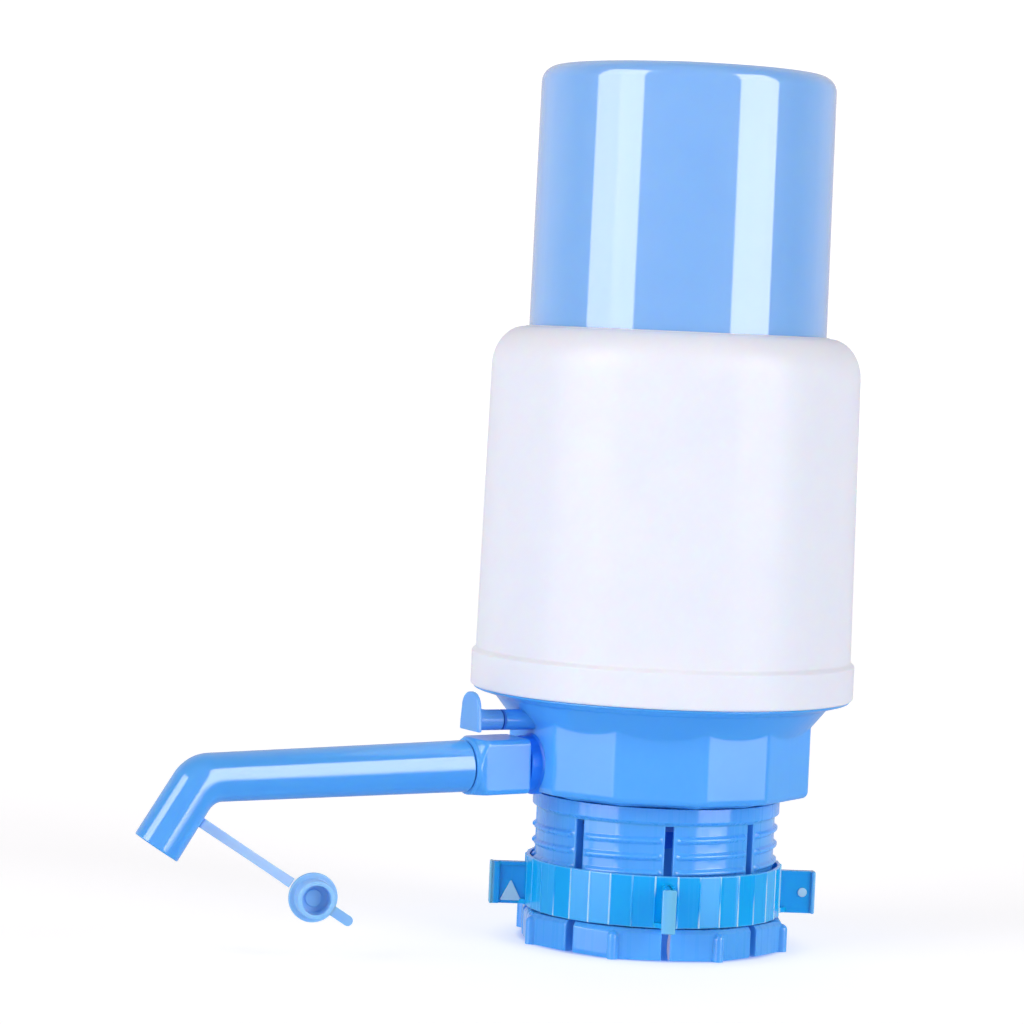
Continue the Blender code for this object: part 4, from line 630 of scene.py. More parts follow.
# %% Turn the casing
shoulder = []
for step in range(13):
    lean = math.radians(90 * step / 12)
    shoulder.append((39.0 + 8.24 * math.cos(lean), 146.4 + 10.35 * math.sin(lean), 0))
casing_corners = [
    # Band round the foot
    (47.2, 64.5, 0.3), (49.2, 64.5, 0.7), (49.2, 73.3, 0.6), (48.2, 74.3, 0.8),
    *shoulder,
    # Lip round the cap, and back down inside
    (38.7, 157.0, 0.15), (38.4, 157.0, 0.15), (38.4, 155.2, 0.35),
    (45.3, 155.2, 6.2), (46.4, 73.3, 0.4), (47.2, 72.3, 0.4),
]
show("white_casing", lathed(casing_corners, 192, 12), "base", silky_pp, ["outer_shell"])

# %% [markdown]
# The twelve-sided body
#
# Wide and narrow facets take turns round the body, with soft edges between them, and a cone flares
# out over them to meet the casing. Where the cone cuts the flat facets it leaves a row of
# scallops. A function that gives the radius for each direction and height says all this directly:
# the facets are a soft minimum of twelve flat sides, and the flare is a soft maximum with them.

# %% Outline of the body
facet_softness = 260
corner_radius = 39.4
flare_start, flare_low, flare_slope = 39.0, 57.3, 0.8
# Half the angle that a facet takes up, in degrees
wide_facet, narrow_facet = 17, 13


def facet_share(degrees):
    """How far the twelve-sided outline reaches in a direction, as a share of its corner radius."""
    total = 0
    for side in range(12):
        half = wide_facet if side % 2 == 0 else narrow_facet
        lean = math.cos(math.radians(degrees - 30 * side)) / math.cos(math.radians(half))
        if lean > 0:
            total += lean ** facet_softness
    return total ** (-1 / facet_softness)


def flare_radius(height):
    """The cone that flares from the facets to the casing."""
    return flare_start + (height - flare_low) * flare_slope


def soft_larger(first, second, fillet=0.35):
    """The larger of two radii, with a small fillet where they meet."""
    share = min(1.0, max(0.0, 0.5 + (first - second) / (2 * fillet)))
    return second + (first - second) * share + fillet * share * (1 - share)


def body_section(degrees):
    """The wall of the body in one direction, from the hole in its floor round and back."""
    share = facet_share(degrees)
    outside = [(6.8, 38.0), (31.3 * share, 38.0), (31.7 * share, 38.05), (36.1 * share, 39.4)]
    edge, edge_height = 1.9, 41.2
    for part in range(9):
        lean = math.radians(-58 + 58 * part / 8)
        outside.append(((37.5 + edge * math.cos(lean)) * share, edge_height + edge * math.sin(lean)))
    heights = [44, 48, 52, 54, 55, 55.6] + [56 + 0.25 * step for step in range(25)]
    for height in heights:
        outside.append((soft_larger(corner_radius * share, flare_radius(height)), height))
    lip = [(43.3, 62.45), (47.3, 63.62), (47.8, 63.75), (48.25, 63.95), (48.4, 64.15), (48.3, 64.42)]
    spigot = [(46.9, 64.42), (46.9, 71.8), (46.7, 72.0), (44.7, 72.0), (44.5, 71.8), (44.5, 65.7)]
    inside = [(38.778, 61.8), (38.778, 60.6), (35.278, 60.6), (35.278, 40.1), (34.9, 39.8), (6.8, 39.8)]
    return outside + lip + spigot + inside


body_rings = []
for column in range(480):
    degrees = column * 0.75
    body_rings.append([polar(r, degrees, z) for r, z in body_section(degrees)])
print("body columns", len(body_rings), "points in each", len(body_rings[0]))

# %% [markdown]
# Bosses and holes
#
# Two bosses stand on the facet that faces the spout: a stout one that the spout plugs on, and a thin one for
# the air valve's stem. The stout one is painted a deeper blue, a painted shade for the gap behind the spout.
# Inside, posts hold the screws. A Boolean cuts the passages through the finished skin.

# %% Bosses, posts and passages
def cut(shape, cutter):
    """The shape with another one taken away."""
    worked, tool = as_object("worked", shape), as_object("cutter", cutter)
    change = worked.modifiers.new("cut", "BOOLEAN")
    change.operation = "DIFFERENCE"
    change.solver = "EXACT"
    change.object = tool
    result = bmesh.new()
    result.from_object(worked, bpy.context.evaluated_depsgraph_get())
    for part in (worked, tool):
        mesh = part.data
        bpy.data.objects.remove(part)
        bpy.data.meshes.remove(mesh)
    return result


def lying(height):
    """Lays a piece that was turned about the axis along the spout, at one height."""
    return Matrix.Translation((0, 0, height)) @ Matrix.Rotation(-math.pi / 2, 4, "Y")


def rod(radius, place, start, stop, sides=32):
    """An upright rod at a place, between two heights."""
    outline = [(0, start), (radius, start), (radius, stop), (0, stop)]
    return moved(turned(outline, sides), Matrix.Translation(place))


def floor_holes(low, high):
    """Rods for the four air holes and the four screw holes."""
    holes = []
    for quarter in range(4):
        holes.append(rod(1.8, polar(14, 20 + 90 * quarter), low, high, 24))
        holes.append(rod(screw_radius, polar(17, 45 + 90 * quarter), low, high, 24))
    return holes


spout_height, vent_height = 46.5, 57.6
screw_radius = 1.6
water_way = moved(rod(4.2, (0, 0, 0), 30, 44), lying(spout_height))
air_way = moved(rod(1.9, (0, 0, 0), 30, 50), lying(vent_height))
tub = cut(skin(body_rings), gathered([water_way, air_way, *floor_holes(37, 41)]))
boss_corners = [
    (4.2, 35.6, 0), (7.9, 35.6, 0), (7.9, 37.5, 0), (7.35, 37.85, 0),
    (7.08, 38.2, 0), (7.0, 38.8, 0), (7.0, 40.878, 0.3), (4.2, 40.878, 0.2),
]
spout_boss = lathed(boss_corners, 64)
vent_boss = lathed([(1.9, 35.6, 0), (2.6, 35.6, 0), (2.6, 46.36, 0.1), (1.9, 46.36, 0.1)], 48)
tall_post = [(screw_radius, 41.5), (3.3, 41.5), (3.3, 60.3), (screw_radius, 60.3)]
low_post = [(screw_radius, 39.0), (3.3, 39.0), (3.3, 49.6), (0, 49.6), (0, 47.2), (screw_radius, 47.2)]
posts = []
for quarter in range(4):
    for outline, out in ((tall_post, 34), (low_post, 17)):
        place = Matrix.Translation(polar(out, 45 + 90 * quarter))
        posts.append(moved(turned(outline, 24), place))
body = gathered([tub, moved(vent_boss, lying(vent_height)), *posts])
show("facet_body", body, "base", moulded_abs, ["base_body"], 30)
# The stout boss gets the darker blue, a painted shadow in the gap behind the spout
show("spout_boss", moved(spout_boss, lying(spout_height)), "base", painted_shade_abs, [], 30)

# %% [markdown]
# The clamping collar
#
# Eight fingers hang from a round ceiling and grip the neck of the bottle. Each carries a part of
# the thread, a grip lip inside, and its share of an eight-sided foot with a rib at the corner.
# A finger is a swept block: one section of its wall for each direction, from slot to slot.

# %% Foot, ribs and thread
# Angles in degrees: the turn of the whole collar, and half a finger without its half slot
collar_turn, finger_lean = -1.8, 20.4
slot_half = 1.1
wall_radius, bore_radius, lip_radius = 30.7, 28.3, 27.2
foot_corner, foot_middle, foot_mean = 35.0, 33.237, 33.3
rib_spine, rib_radius, rib_proud, rib_top, rib_circle = 34.6, 1.4, 1.6, 5.8, 35.5
# Heights and depth in millimetres, and the two angles at which the thread starts
thread_foot, thread_top, thread_pitch, thread_depth = 16.5, 31.9, 4.1, 0.85
thread_turn, thread_lead = 155.7, 4.7


def foot_radius(degrees, inset):
    """The eight-sided foot, with sides that bow out a little at the slots."""
    away = abs((degrees - collar_turn + 22.5) % 45 - 22.5)
    near = polar(foot_corner, 0)
    far = polar(foot_middle, 22.5)
    ray = polar(1, away)
    cross = (far - near).normalized()
    reach = (near.x * cross.y - near.y * cross.x) / (ray.x * cross.y - ray.y * cross.x)
    return reach - inset


def step_between(value, low, high):
    """Goes from 0 to 1 between two values, with soft ends."""
    share = min(1.0, max(0.0, (value - low) / (high - low)))
    return share * share * (3 - 2 * share)


def rib_reach(degrees, height):
    """How far out the half-round rib on a foot's corner stands there."""
    away = (degrees - collar_turn + 22.5) % 45 - 22.5
    side = rib_circle * math.sin(math.radians(away))
    from_spine = math.hypot(side, max(0.0, height - rib_top)) / rib_radius
    return rib_spine + rib_proud * math.sqrt(1 - from_spine ** 2) if from_spine < 1 else 0.0


def thread_middles(degrees):
    """The heights at which the thread passes a direction, up to the last whole finger."""
    first = (degrees - thread_turn) % 360
    finger_end = (first // 45 + 1) * 45
    heights = []
    for lap in range(5):
        if thread_foot + thread_pitch * (finger_end + 360 * lap + thread_lead) / 360 < thread_top:
            heights.append(thread_foot + thread_pitch * (first + 360 * lap + thread_lead) / 360)
    return heights


print("thread passes the front at", [round(z, 1) for z in thread_middles(241)])

# %% [markdown]
# A column is the section of the wall in one direction, from the foot up the outside and down the
# inside. Its rows follow the thread as it climbs, so the ridges stay smooth. Close to a slot the
# outside pulls in a little, as the real edges are slightly round, which makes a pale line there.

# %% Columns of a finger
foot_heights = [0.15, 0.5, 1.5, 2.5, 3.5, 4.5, 5.2, 5.8, 6.0, 6.2]
foot_heights += [6.4, 6.55, 6.7, 6.85, 7.0, 7.1, 7.2, 7.4, 7.6, 7.8]
wall_rows = ((31.4, 7.9), (31.0, 8.0), (wall_radius, 8.2), (wall_radius, 12), (wall_radius, 14.5))
ridge_rows = [0.11 * step for step in range(-10, 11)]
inner_rows = [(bore_radius, 33.5), (bore_radius, 5.2), (lip_radius, 4.2), (lip_radius, 1.6)]
inner_rows += [(bore_radius, 0.6), (28.4, 0.0)]


def finger_column(rib_turn, share, ease):
    """A column some share of the way from a finger's rib to the slot beside it."""

    def turn_at(radius):
        return rib_turn + share * (22.5 - math.degrees(math.asin(slot_half / radius)))

    at_foot, at_wall, at_bore = turn_at(foot_mean), turn_at(wall_radius), turn_at(bore_radius)
    column = [polar(foot_radius(at_foot, 0.8) - ease, at_foot, 0)]
    for height in foot_heights:
        inset = 0.5 * (1 - step_between(height, -0.5, 0.5)) + 0.95 * step_between(height, 6.6, 8.3)
        radius = max(foot_radius(at_foot, inset), rib_reach(at_foot, height))
        column.append(polar(radius - ease, at_foot, height))
    column.append(polar(foot_radius(at_foot, 1.0) - ease, at_foot, 7.9))
    for radius, height in wall_rows:
        column.append(polar(radius - ease, at_wall, height))
    from_slot = (1 - abs(share)) * math.radians(finger_lean) * wall_radius
    for middle in thread_middles(at_wall):
        for row in ridge_rows:
            lift = 1 - step_between(abs(row), 0.15, 1.05)
            lift = thread_depth * lift * step_between(from_slot, 0.8, 1.5)
            column.append(polar(wall_radius + lift - ease, at_wall, middle + row))
    column.append(polar(wall_radius - ease, at_wall, 33.5))
    return column + [polar(radius, at_bore, height) for radius, height in inner_rows]


print("points in a column", len(finger_column(0, 0, 0)))

# %% Sweep the eight fingers
half_finger = math.radians(22.5) * 31 - slot_half
edge_rows = ((0.0, 0.35), (0.08, 0.18), (0.2, 0.06), (0.38, 0.0))
at_edge = [(half_finger - away, ease) for away, ease in edge_rows]
at_rib = [(value * 0.14, 0.0) for value in range(0, 14)]
between = [(value * 0.5, 0.0) for value in range(5, 22)]
steps_out = sorted(at_edge + at_rib + between)
both = [(-value, ease) for value, ease in steps_out[:0:-1]] + steps_out
fingers = []
for finger in range(8):
    rib_turn = collar_turn + 45 * finger
    columns = [finger_column(rib_turn, value / half_finger, ease) for value, ease in both]
    fingers.append(skin(columns, capped=True))
print("fingers", len(fingers), "columns in each", len(both))

# %% Ceiling of the collar
ceiling_corners = [
    (6.8, 34.5, 0.2), (bore_radius, 34.5, 0.3), (bore_radius, 33.5, 0), (wall_radius, 33.5, 0),
    (30.75, 33.75, 0.2), (31.8, 34.5, 0.4), (31.8, 37.96, 0.15), (6.8, 37.96, 0.2),
]
ceiling = cut(lathed(ceiling_corners, 128), gathered(floor_holes(33, 39)))
collar = gathered([ceiling, *fingers])
show("clamp_collar", collar, "base", clamp_abs, ["neck_collet"], 45)

# %% [markdown]
# The clamping nut
#
# The cyan nut has thirty-six flat sides with a fine raised line on each edge, which is
# what glitters in the picture. Four wings give the fingers a hold. Each wing is a web with
# a thicker rim, one wing carries a small raised triangle, and another a dot.

# %% Helpers for flat plates with eased edges
def inset(outline, distance):
    """A closed flat outline moved inwards."""
    moved_points = []
    for index, point in enumerate(outline):
        before = (point - outline[index - 1]).normalized()
        after = (outline[(index + 1) % len(outline)] - point).normalized()
        normal = Vector((-before.y - after.y, before.x + after.x))
        scale = distance / max(0.2, normal.length ** 2 / 2)
        moved_points.append(point + normal * scale)
    return moved_points


def plate(outline, low, high, ease, steps=3):
    """A flat outline, walked anticlockwise, raised from one height to another with round edges."""
    outline = [Vector(point[:2]) for point in outline]
    rings = []
    for step in range(steps + 1):
        lean = math.pi / 2 * step / steps
        shrunk = inset(outline, ease * (1 - math.sin(lean)))
        rings.append([(x, y, low + ease * (1 - math.cos(lean))) for x, y in shrunk])
    for ring in rings[::-1]:
        rings.append([(x, y, high - (z - low)) for x, y, z in ring])
    return skin(rings, capped=True)


def bar(low, high, ease=0.2):
    """A block with round edges between two corners."""
    (x0, y0, z0), (x1, y1, z1) = low, high
    return plate(eased([(x0, y0, ease), (x1, y0, ease), (x1, y1, ease), (x0, y1, ease)]), z0, z1, ease)


print("a small bar has", len(bar((0, 0, 0), (1, 1, 1)).faces), "faces")

# %% Band of the nut
ring_low, ring_high = 8.2, 21.2
ring_bore, ring_outer = 31.97, 33.07
# One degree round the outside of the nut, in millimetres
degree_width = 0.577


def band_section(degrees):
    """The wall of the nut in one direction, with a fine line where two sides meet."""
    away = abs(degrees % 10)
    away = min(away, 10 - away)
    flat = math.cos(math.radians(5)) / math.cos(math.radians(5 - away))
    line = 0.16 * (1 - step_between(away * degree_width, 0.06, 0.30))
    outer = ring_outer * flat + line - 0.12
    bore = ring_bore * flat
    rising = [
        (bore, ring_low + 0.2), (bore + 0.15, ring_low), (outer - 0.3, ring_low),
        (outer - 0.08, ring_low + 0.1), (outer, ring_low + 0.35),
    ]
    closing = [
        (outer, ring_high - 0.35), (outer - 0.08, ring_high - 0.1), (outer - 0.3, ring_high),
        (bore + 0.15, ring_high), (bore, ring_high - 0.2),
    ]
    return rising + closing


band_steps = (0, 0.15, 0.3, 0.45, 0.7, 2, 5, 8, 9.3, 9.55, 9.7, 9.85)
band_turns = [10 * side + step for side in range(36) for step in band_steps]
band = skin([[polar(r, degrees, z) for r, z in band_section(degrees)] for degrees in band_turns])
print("band", len(band.faces), "faces")

# %% Wings and lugs
wing_turns = (64.7, 154.7, 244.7, 334.7)
upright = Matrix(((1, 0, 0, 0), (0, 0, -1, 0), (0, 1, 0, 0), (0, 0, 0, 1)))


def wing():
    """A wing along +X: its web, the rims on both faces and its foot."""
    root, tip, top = 32.6, 42.17, 19.2
    foot = [(root, -2.6, 0), (33.1, -2.6, 0.1), (34.8, -0.9, 0.3)]
    foot += [(34.8, 0.9, 0.3), (33.1, 2.6, 0.1), (root, 2.6, 0)]
    parts = [
        bar((root, -0.9, ring_low + 0.05), (tip - 0.3, 0.9, top - 0.05), 0.2),
        bar((tip - 1.0, -1.75, ring_low), (tip, 1.75, top), 0.4),
        bar((tip - 2.6, 0.2, ring_low + 0.05), (tip - 0.2, 1.7, top - 0.05), 0.3),
        bar((root, 0.3, top - 1.0), (tip - 2.0, 1.6, top - 0.05), 0.2),
        plate(eased(foot), ring_low + 0.2, ring_low + 1.5, 0.2),
    ]
    return gathered(parts)


def wing_place(degrees):
    return Matrix.Rotation(math.radians(degrees), 4, "Z")


wings = [moved(wing(), wing_place(degrees)) for degrees in wing_turns]
show("clamp_nut", gathered([band, *wings]), "ring", clear_cyan_pp, ["lock_ring"], 30)

# %% Raised marks on two wings
low, middle = ring_low + 0.9, 36.6
triangle_corners = [(middle - 2.8, low, 0.25), (middle + 2.8, low, 0.25), (middle, low + 5.4, 0.25)]
triangle = moved(plate(eased(triangle_corners), -1.35, -0.6, 0.15), upright)
dot_outline = [Vector((38.9, ring_low + 5.5)) + polar(1.2, 15 * step).xy for step in range(24)]
dot = moved(plate(dot_outline, 0.6, 1.3, 0.15), upright)
marks = gathered([moved(triangle, wing_place(wing_turns[1])), moved(dot, wing_place(wing_turns[3]))])
# The marks' near-white colour is a painted highlight
show("wing_marks", marks, "ring", painted_highlight_cyan_pp, [])

# %% [markdown]
# The spout
#
# A square collar pushes onto the body's boss, and turns round where the tube goes in. The tube
# is a soft-cornered elbow: its rings follow a straight line, a bend with a wide outer and a
# tight inner corner, and a short downward run. Both are skins of rings, outside and then back inside.

# %% Frames along the spout
face_plane = corner_radius * math.cos(math.radians(wide_facet))
droop, down_angle = 1.26, 56.95
upper_run, lower_run = 91.1, 19.8


def in_plane(angle, along, up):
    """A step along and up from a direction that points below level, in the spout's plane."""
    turn = math.radians(angle)
    forward = Vector((-math.cos(turn), 0, -math.sin(turn)))
    upward = Vector((-math.sin(turn), 0, math.cos(turn)))
    return forward * along + upward * up


spout_start = Vector((-face_plane, 0, spout_height))
spout_corner = spout_start + in_plane(droop, upper_run, 0)
spout_mouth = spout_corner + in_plane(down_angle, lower_run, 0)
print("corner", [round(c, 2) for c in spout_corner], "mouth", [round(c, 2) for c in spout_mouth])

# %% Square collar
def round_square(half, corner, across=10):
    """A square with round corners. A corner as large as the half makes a circle."""
    points = []
    for quadrant in range(4):
        middle = Matrix.Rotation(math.pi / 2 * quadrant, 2) @ Vector((half - corner, half - corner))
        for step in range(across):
            points.append(middle + polar(corner, 90 * (quadrant + step / (across - 1))).xy)
    return points


# Station along the collar, half its width, and its corner radius
collar_sections = [
    (0, 6.3, 1.3), (0.12, 6.62, 1.4), (0.45, 6.86, 1.45), (1.0, 6.9, 1.45), (11.6, 6.9, 1.45),
    (12.2, 6.92, 1.7), (12.8, 6.98, 2.6), (13.4, 7.08, 4.2), (13.9, 7.2, 6.0), (14.3, 7.28, 7.28),
    (14.75, 7.25, 7.25), (15.05, 7.05, 7.05), (15.2, 6.7, 6.7), (15.2, 6.2, 6.2), (15.0, 6.0, 6.0),
    (8.1, 6.0, 6.0), (8.1, 4.35, 4.35), (0.2, 4.35, 4.35), (0, 4.6, 4.6),
]
collar_start = face_plane + 3.5
collar_place = Matrix.Translation(spout_start + in_plane(droop, collar_start - face_plane, 0))
collar_frame = collar_place @ Matrix.Rotation(-math.pi / 2 - math.radians(droop), 4, "Y")
collar_rings = []
for station, half, corner in collar_sections:
    collar_rings.append([collar_frame @ Vector((p.x, p.y, station)) for p in round_square(half, corner)])
show("spout_collar", skin(collar_rings), "base", moulded_abs, ["spout_connector"], 30)

# %% Bent tube
def tube_ring(centre, angle, half_height, half_width, points=48):
    """An oval ring across a tube that points this angle below level."""
    upward = in_plane(angle, 0, 1)
    ring = []
    for step in range(points):
        turn = 2 * math.pi * step / points
        side = Vector((0, math.sin(turn) * half_width, 0))
        ring.append(centre + upward * (math.cos(turn) * half_height) + side)
    return ring


def bend_rings(inset_by, steps=20):
    """Rings round the bend, whose outer corner is wide and inner corner tight."""
    outer_radius, inner_radius, tube_radius = 10.25, 4.5, 6.0
    upper, lower = in_plane(droop, 0, 1), in_plane(down_angle, 0, 1)
    middle = (upper + lower) / (1 + upper.dot(lower))
    outside = spout_corner + middle * (tube_radius - outer_radius)
    inside = spout_corner - middle * (tube_radius + inner_radius)
    rings = []
    for step in range(steps + 1):
        out = in_plane(droop + (down_angle - droop) * step / steps, 0, 1)
        back = outside + out * outer_radius
        front = inside + out * inner_radius
        across = back - front
        tilt = math.degrees(math.atan2(-across.x, across.z))
        half = across.length / 2 - inset_by
        rings.append(tube_ring((back + front) / 2, tilt, half, tube_radius - inset_by))
    return rings


def straight_ring(along, radius):
    return tube_ring(spout_start + in_plane(droop, along, 0), droop, radius, radius)


def mouth_ring(back, radius):
    """A ring at the mouth, whose plane turns five degrees away from the front."""
    ring = tube_ring(spout_mouth - in_plane(down_angle, back, 0), down_angle, radius, radius)
    return [point - in_plane(down_angle, 0.09 * point.y, 0) for point in ring]


collar_end = collar_start + 15.5 - face_plane
plug_start = collar_start + 8.4 - face_plane
root_rings = ((plug_start, 5.4), (plug_start + 0.3, 5.7), (collar_end, 5.7), (collar_end, 6.3))
neck_rings = ((collar_end + 0.12, 6.45), (collar_end + 0.4, 6.5), (collar_end + 12, 6.4))
outer_lip = ((0.5, 6.1), (0.15, 6.05), (0, 5.85))
inner_lip = ((0, 5.0), (0.15, 4.85), (0.5, 4.8))
inner_end = ((collar_end + 1.3, 5.2), (collar_end - 0.3, 4.4), (plug_start, 4.4))
outside = [straight_ring(*ring) for ring in root_rings + neck_rings]
outside += bend_rings(0) + [mouth_ring(*ring) for ring in outer_lip]
bore = [mouth_ring(*ring) for ring in inner_lip] + bend_rings(1.3)[::-1]
bore += [straight_ring(*ring) for ring in inner_end]
tube = skin(outside + bore)
print("tube rings", len(outside) + len(bore))

# %% [markdown]
# Strap and stopper
#
# A thin strap is moulded to the spout's mouth piece and carries a stopper, a flange with a hollow
# plug and a pull tab. The strap leaves the tube on a small stud. All three are drawn in the
# strap's own frame, with x along it, y across its width and z through its thickness.

# %% Frame of the strap
strap_dip, strap_turn = math.radians(32.7), math.radians(-14.48)
flat = math.cos(strap_dip)
strap_along = Vector((math.cos(strap_turn) * flat, math.sin(strap_turn) * flat, -math.sin(strap_dip)))
strap_through = Vector((math.sin(strap_turn), -math.cos(strap_turn), 0))
strap_across = strap_through.cross(strap_along)
strap_root = spout_corner + in_plane(down_angle, 8.6, -7.3)
strap_axes = Matrix((strap_along, strap_across, strap_through)).transposed().to_4x4()
strap_frame = Matrix.Translation(strap_root) @ strap_axes
stud = moved(bar((-2.3, -1.1, -0.65), (-0.95, 1.1, 0.65), 0.2), strap_frame)
show("bent_tube", gathered([tube, stud]), "base", spout_abs, ["spout_tube"], 30)

# %% Strap
strap_length, half_strap = 25.75, 0.65
end_steps = [90 * step / 8 for step in range(9)]


def end_ring(middle, degrees, half_width):
    """How far along, how thick and how wide the strap is at a ring of its round end."""
    lean = math.radians(degrees)
    return (middle + half_strap * math.sin(lean), half_strap * max(0.12, math.cos(lean)), half_width)


strap_stations = [end_ring(0, degrees - 90, 1.25) for degrees in end_steps]
for along, half_width in ((3, 1.25), (12, 1.2), (20, 1.2), (23.5, 1.25), (25, 1.3)):
    strap_stations.append((along, 0.62, half_width))
strap_stations += [end_ring(strap_length, degrees, 1.3) for degrees in end_steps]
strap_rings = []
for along, thick, wide in strap_stations:
    ease = min(0.25, thick * 0.6)
    loop = eased([(-wide, -thick, ease), (wide, -thick, ease), (wide, thick, ease), (-wide, thick, ease)], 3)
    strap_rings.append([strap_frame @ Vector((along, p.x, p.y)) for p in loop])
strap = skin(strap_rings, capped=True)
show("thin_strap", strap, "strap", strap_pe, ["cap_strap"], 45)

# %% Stopper
cup_corners = [
    (0, -0.6, 0), (6.1, -0.6, 0.35), (6.1, 0.6, 0.35), (4.7, 0.6, 0.3), (4.7, 5.0, 0.35),
    (3.6, 5.0, 0.3), (3.6, 0.6, 0.3), (2.1, 0.6, 0.1), (2.1, 1.0, 0.15), (0, 1.0, 0),
]
tab_tip = [Vector((10.5, 0)) + polar(1.3, -90 + 15 * step).xy for step in range(13)]
stopper_tab = plate([(4.6, -1.3), *tab_tip, (4.6, 1.3)], -0.5, 0.5, 0.2)
stopper_place = strap_frame @ Matrix.Translation((32.8, 0, 0))
stopper = moved(gathered([lathed(cup_corners, 72), stopper_tab]), stopper_place)
show("stopper", stopper, "stopper", thin_pe, ["spout_cap"], 40)

# %% [markdown]
# The air valve's lever
#
# Pressing the thumb plate tilts a stem in the wall and lets the pressure out of the bottle. The
# plate has a round head and flares into the bar with a fillet. A thin washer of dark blue rubber
# seals between the bar and the boss, and shows as a dark seam.

# %% Lever and washer
plate_low = 55.0
head = [Vector((0.3, 5.8)) + polar(4.0, 90 * step / 8).xy for step in range(9)]
head += [Vector((-p.x, p.y)) for p in head[::-1]]
thumb_outline = [(-4.9, 0.3), (-4.6, 0), (4.6, 0), (4.9, 0.3), (4.75, 2.5), *head, (-4.75, 2.5)]
stand_up = Matrix(((0, 0, -1, 0), (1, 0, 0, 0), (0, 1, 0, plate_low), (0, 0, 0, 1)))
thumb_plate = moved(plate(thumb_outline, 54.678, 55.878, 0.35, 4), stand_up)
stem_corners = [
    (0, 26.878, 0), (1.4, 26.878, 0.2), (1.4, 28.078, 0.2), (0.8, 28.078, 0), (0.8, 48.0, 0), (0, 48.0, 0),
]
bar_start, fillet_start, bar_radius = 47.35, 51, 2.6
bar_stations = (47.178, 47.23, bar_start, 50, fillet_start, 51.6, 52.2, 52.7)
bar_stations += (53.2, 53.6, 54.0, 54.35, 54.7, 55.0)
bar_rings = []
for out in bar_stations:
    radius = bar_radius - max(0.0, bar_start - out)
    rise_up = 3.4 * (1 - math.sqrt(1 - min(1.0, max(0.0, (out - fillet_start) / 4.1)) ** 2))
    ring = []
    for step in range(48):
        across, up = math.cos(math.pi * step / 24), math.sin(math.pi * step / 24)
        ring.append((-out, radius * across, vent_height + up * (radius + (rise_up if up > 0 else 0))))
    bar_rings.append(ring)
thumb_bar = skin(bar_rings, capped=True)
lever = gathered([thumb_plate, thumb_bar, moved(lathed(stem_corners, 48), lying(vent_height))])
show("air_lever", lever, "vent", soft_pe, ["vent_lever"], 40)
washer = lathed([(1.9, 46.378, 0.08), (2.6, 46.378, 0.12), (2.6, 46.878, 0.12), (1.9, 46.878, 0.08)], 48)
washer = moved(washer, lying(vent_height))
show("lever_washer", washer, "base", dark_rubber, ["vent_washer"])

# %% [markdown]
# The valve's spring
#
# A little coil of steel wire pulls the lever shut. It is a skin of small rings along a screw line.
# It moves with the lever, so it is wound a little narrower than its solid, which leaves room above.

# %% Wind the spring
spring_low, spring_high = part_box("vent_spring")
wire, coil, coils, ring_steps = 0.3, 1.4, 4, 24
first = (axis_x - spring_high.x) * 1000 + wire
last = (axis_x - spring_low.x) * 1000 - wire
spring_rings = []
for step in range(ring_steps * coils + 1):
    out = polar(1, 360 * step / ring_steps)
    outward = Vector((0, out.x, out.y))
    run = first + (last - first) * step / (ring_steps * coils)
    centre = Vector((-run, 0, vent_height)) + outward * coil
    loop = [polar(wire, 45 * corner) for corner in range(8)]
    spring_rings.append([centre + outward * p.x + Vector((p.y, 0, 0)) for p in loop])
spring = skin(spring_rings, capped=True)
show("valve_spring", spring, "vent", stainless, ["vent_spring"], 60)

# %% [markdown]
# The bellows
#
# The rubber concertina inside does the pumping. A real one has round folds, so its wall follows a softened
# wave. It flattens towards its foot when the cap goes down, to about 0.6 of its height, but here it is only
# turned in its resting shape.

# %% Bellows
folds_low, folds_high, folds = 71.4, 213.7, 9
rubber_wall = 1.5


def bellows_radius(height):
    share = (height - folds_low) / (folds_high - folds_low) * folds
    return 27.9 + 5.1 * (0.5 - 0.5 * math.cos(2 * math.pi * share)) ** 0.85


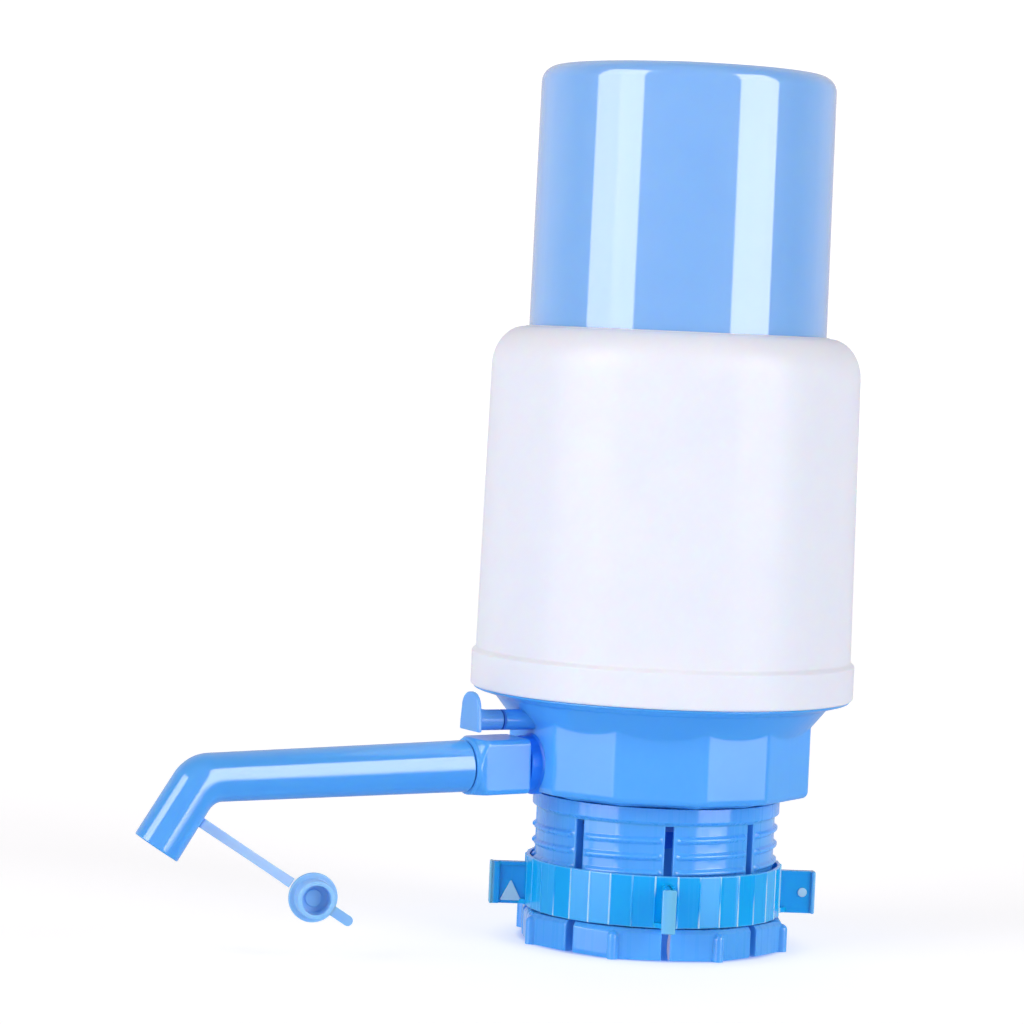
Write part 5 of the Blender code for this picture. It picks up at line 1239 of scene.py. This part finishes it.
fold_heights = [folds_low + (folds_high - folds_low) * step / 108 for step in range(109)]
wall = [(38.3, 65.0), (38.478, 65.2), (38.478, 66.4), (38.3, 66.6), (29.3, 66.6), (29.0, 66.9)]
wall += [(bellows_radius(z), z) for z in fold_heights]
wall += [(29.0, 215.7), (29.0, 217.1), (28.8, 217.3), (20.2, 217.3), (20.0, 217.1), (20.0, 215.9)]
wall += [(27.5, 215.7)] + [(bellows_radius(z) - rubber_wall, z) for z in fold_heights[::-1]]
wall += [(27.5, 66.9), (27.5, 65.0)]
bellows = turned(wall, 96)
bellows = show("folded_bellows", bellows, "base", pale_silicone, ["bellows"])
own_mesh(bellows)

# %% [markdown]
# Seals and valves
#
# Soft rings seal the joints inside. They are turned pieces with round edges, and the two
# mushroom valves have a dished disc that lies on their air holes.

# %% Turn the seals
def seal(name, inner, outer, low, high, solid, finish):
    edge = min(outer - inner, high - low) * 0.3
    corners = [(inner, low, edge), (outer, low, edge), (outer, high, edge), (inner, high, edge)]
    return show(name, lathed(corners, 96), "base", finish, [solid])


def mushroom(name, body, under, knob, solid):
    """A rubber valve under a plate, with its stem through the plate."""
    corners = [
        (0, under - 0.8, 0), (4.0, under - 0.8, 0.5), (8.0, under - 0.6, 0.1), (8.0, under, 0.2),
        (1.1, under, 0.2), (1.1, knob, 0), (1.9, knob, 0.2), (1.1, knob + 1.8, 0.3), (0, knob + 1.8, 0),
    ]
    return show(name, lathed(corners, 64), body, pale_silicone, [solid])


# The seal's quiet blue is painted shade for the view into the slots
seal("bottle_seal", 21.0, 28.0, 31.7, 34.2, "neck_gasket", painted_shade_silicone)
seal("riser_washer", 6.8, 11.0, 40.1, 40.6, "riser_seal", pale_silicone)
mushroom("outlet_mushroom", "base", 61.9, 65.0, "outlet_valve")
mushroom("inlet_mushroom", "plunger", 217.3, 220.4, "inlet_valve")

# %% [markdown]
# What stays as it came
#
# The screws, plates, flat gasket, elbow, clip and O-rings already have their shape, and they are
# hidden inside. They keep their solids and only get a finish.

# %% Finish the carried-over solids
for name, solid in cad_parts.items():
    if solid.hide_render:
        continue
    if "screw" in name or name == "vent_clip":
        finish = stainless
    elif name == "plate_gasket":
        finish = pale_silicone
    elif "oring" in name:
        finish = black_rubber
    # The elbow, seen through the slots, gets the darker blue as painted shade
    elif name == "riser_elbow":
        finish = painted_shade_abs
    else:
        finish = natural_pp
    solid.data.materials.clear()
    solid.data.materials.append(finish)
    print(name, "gets", finish.name)
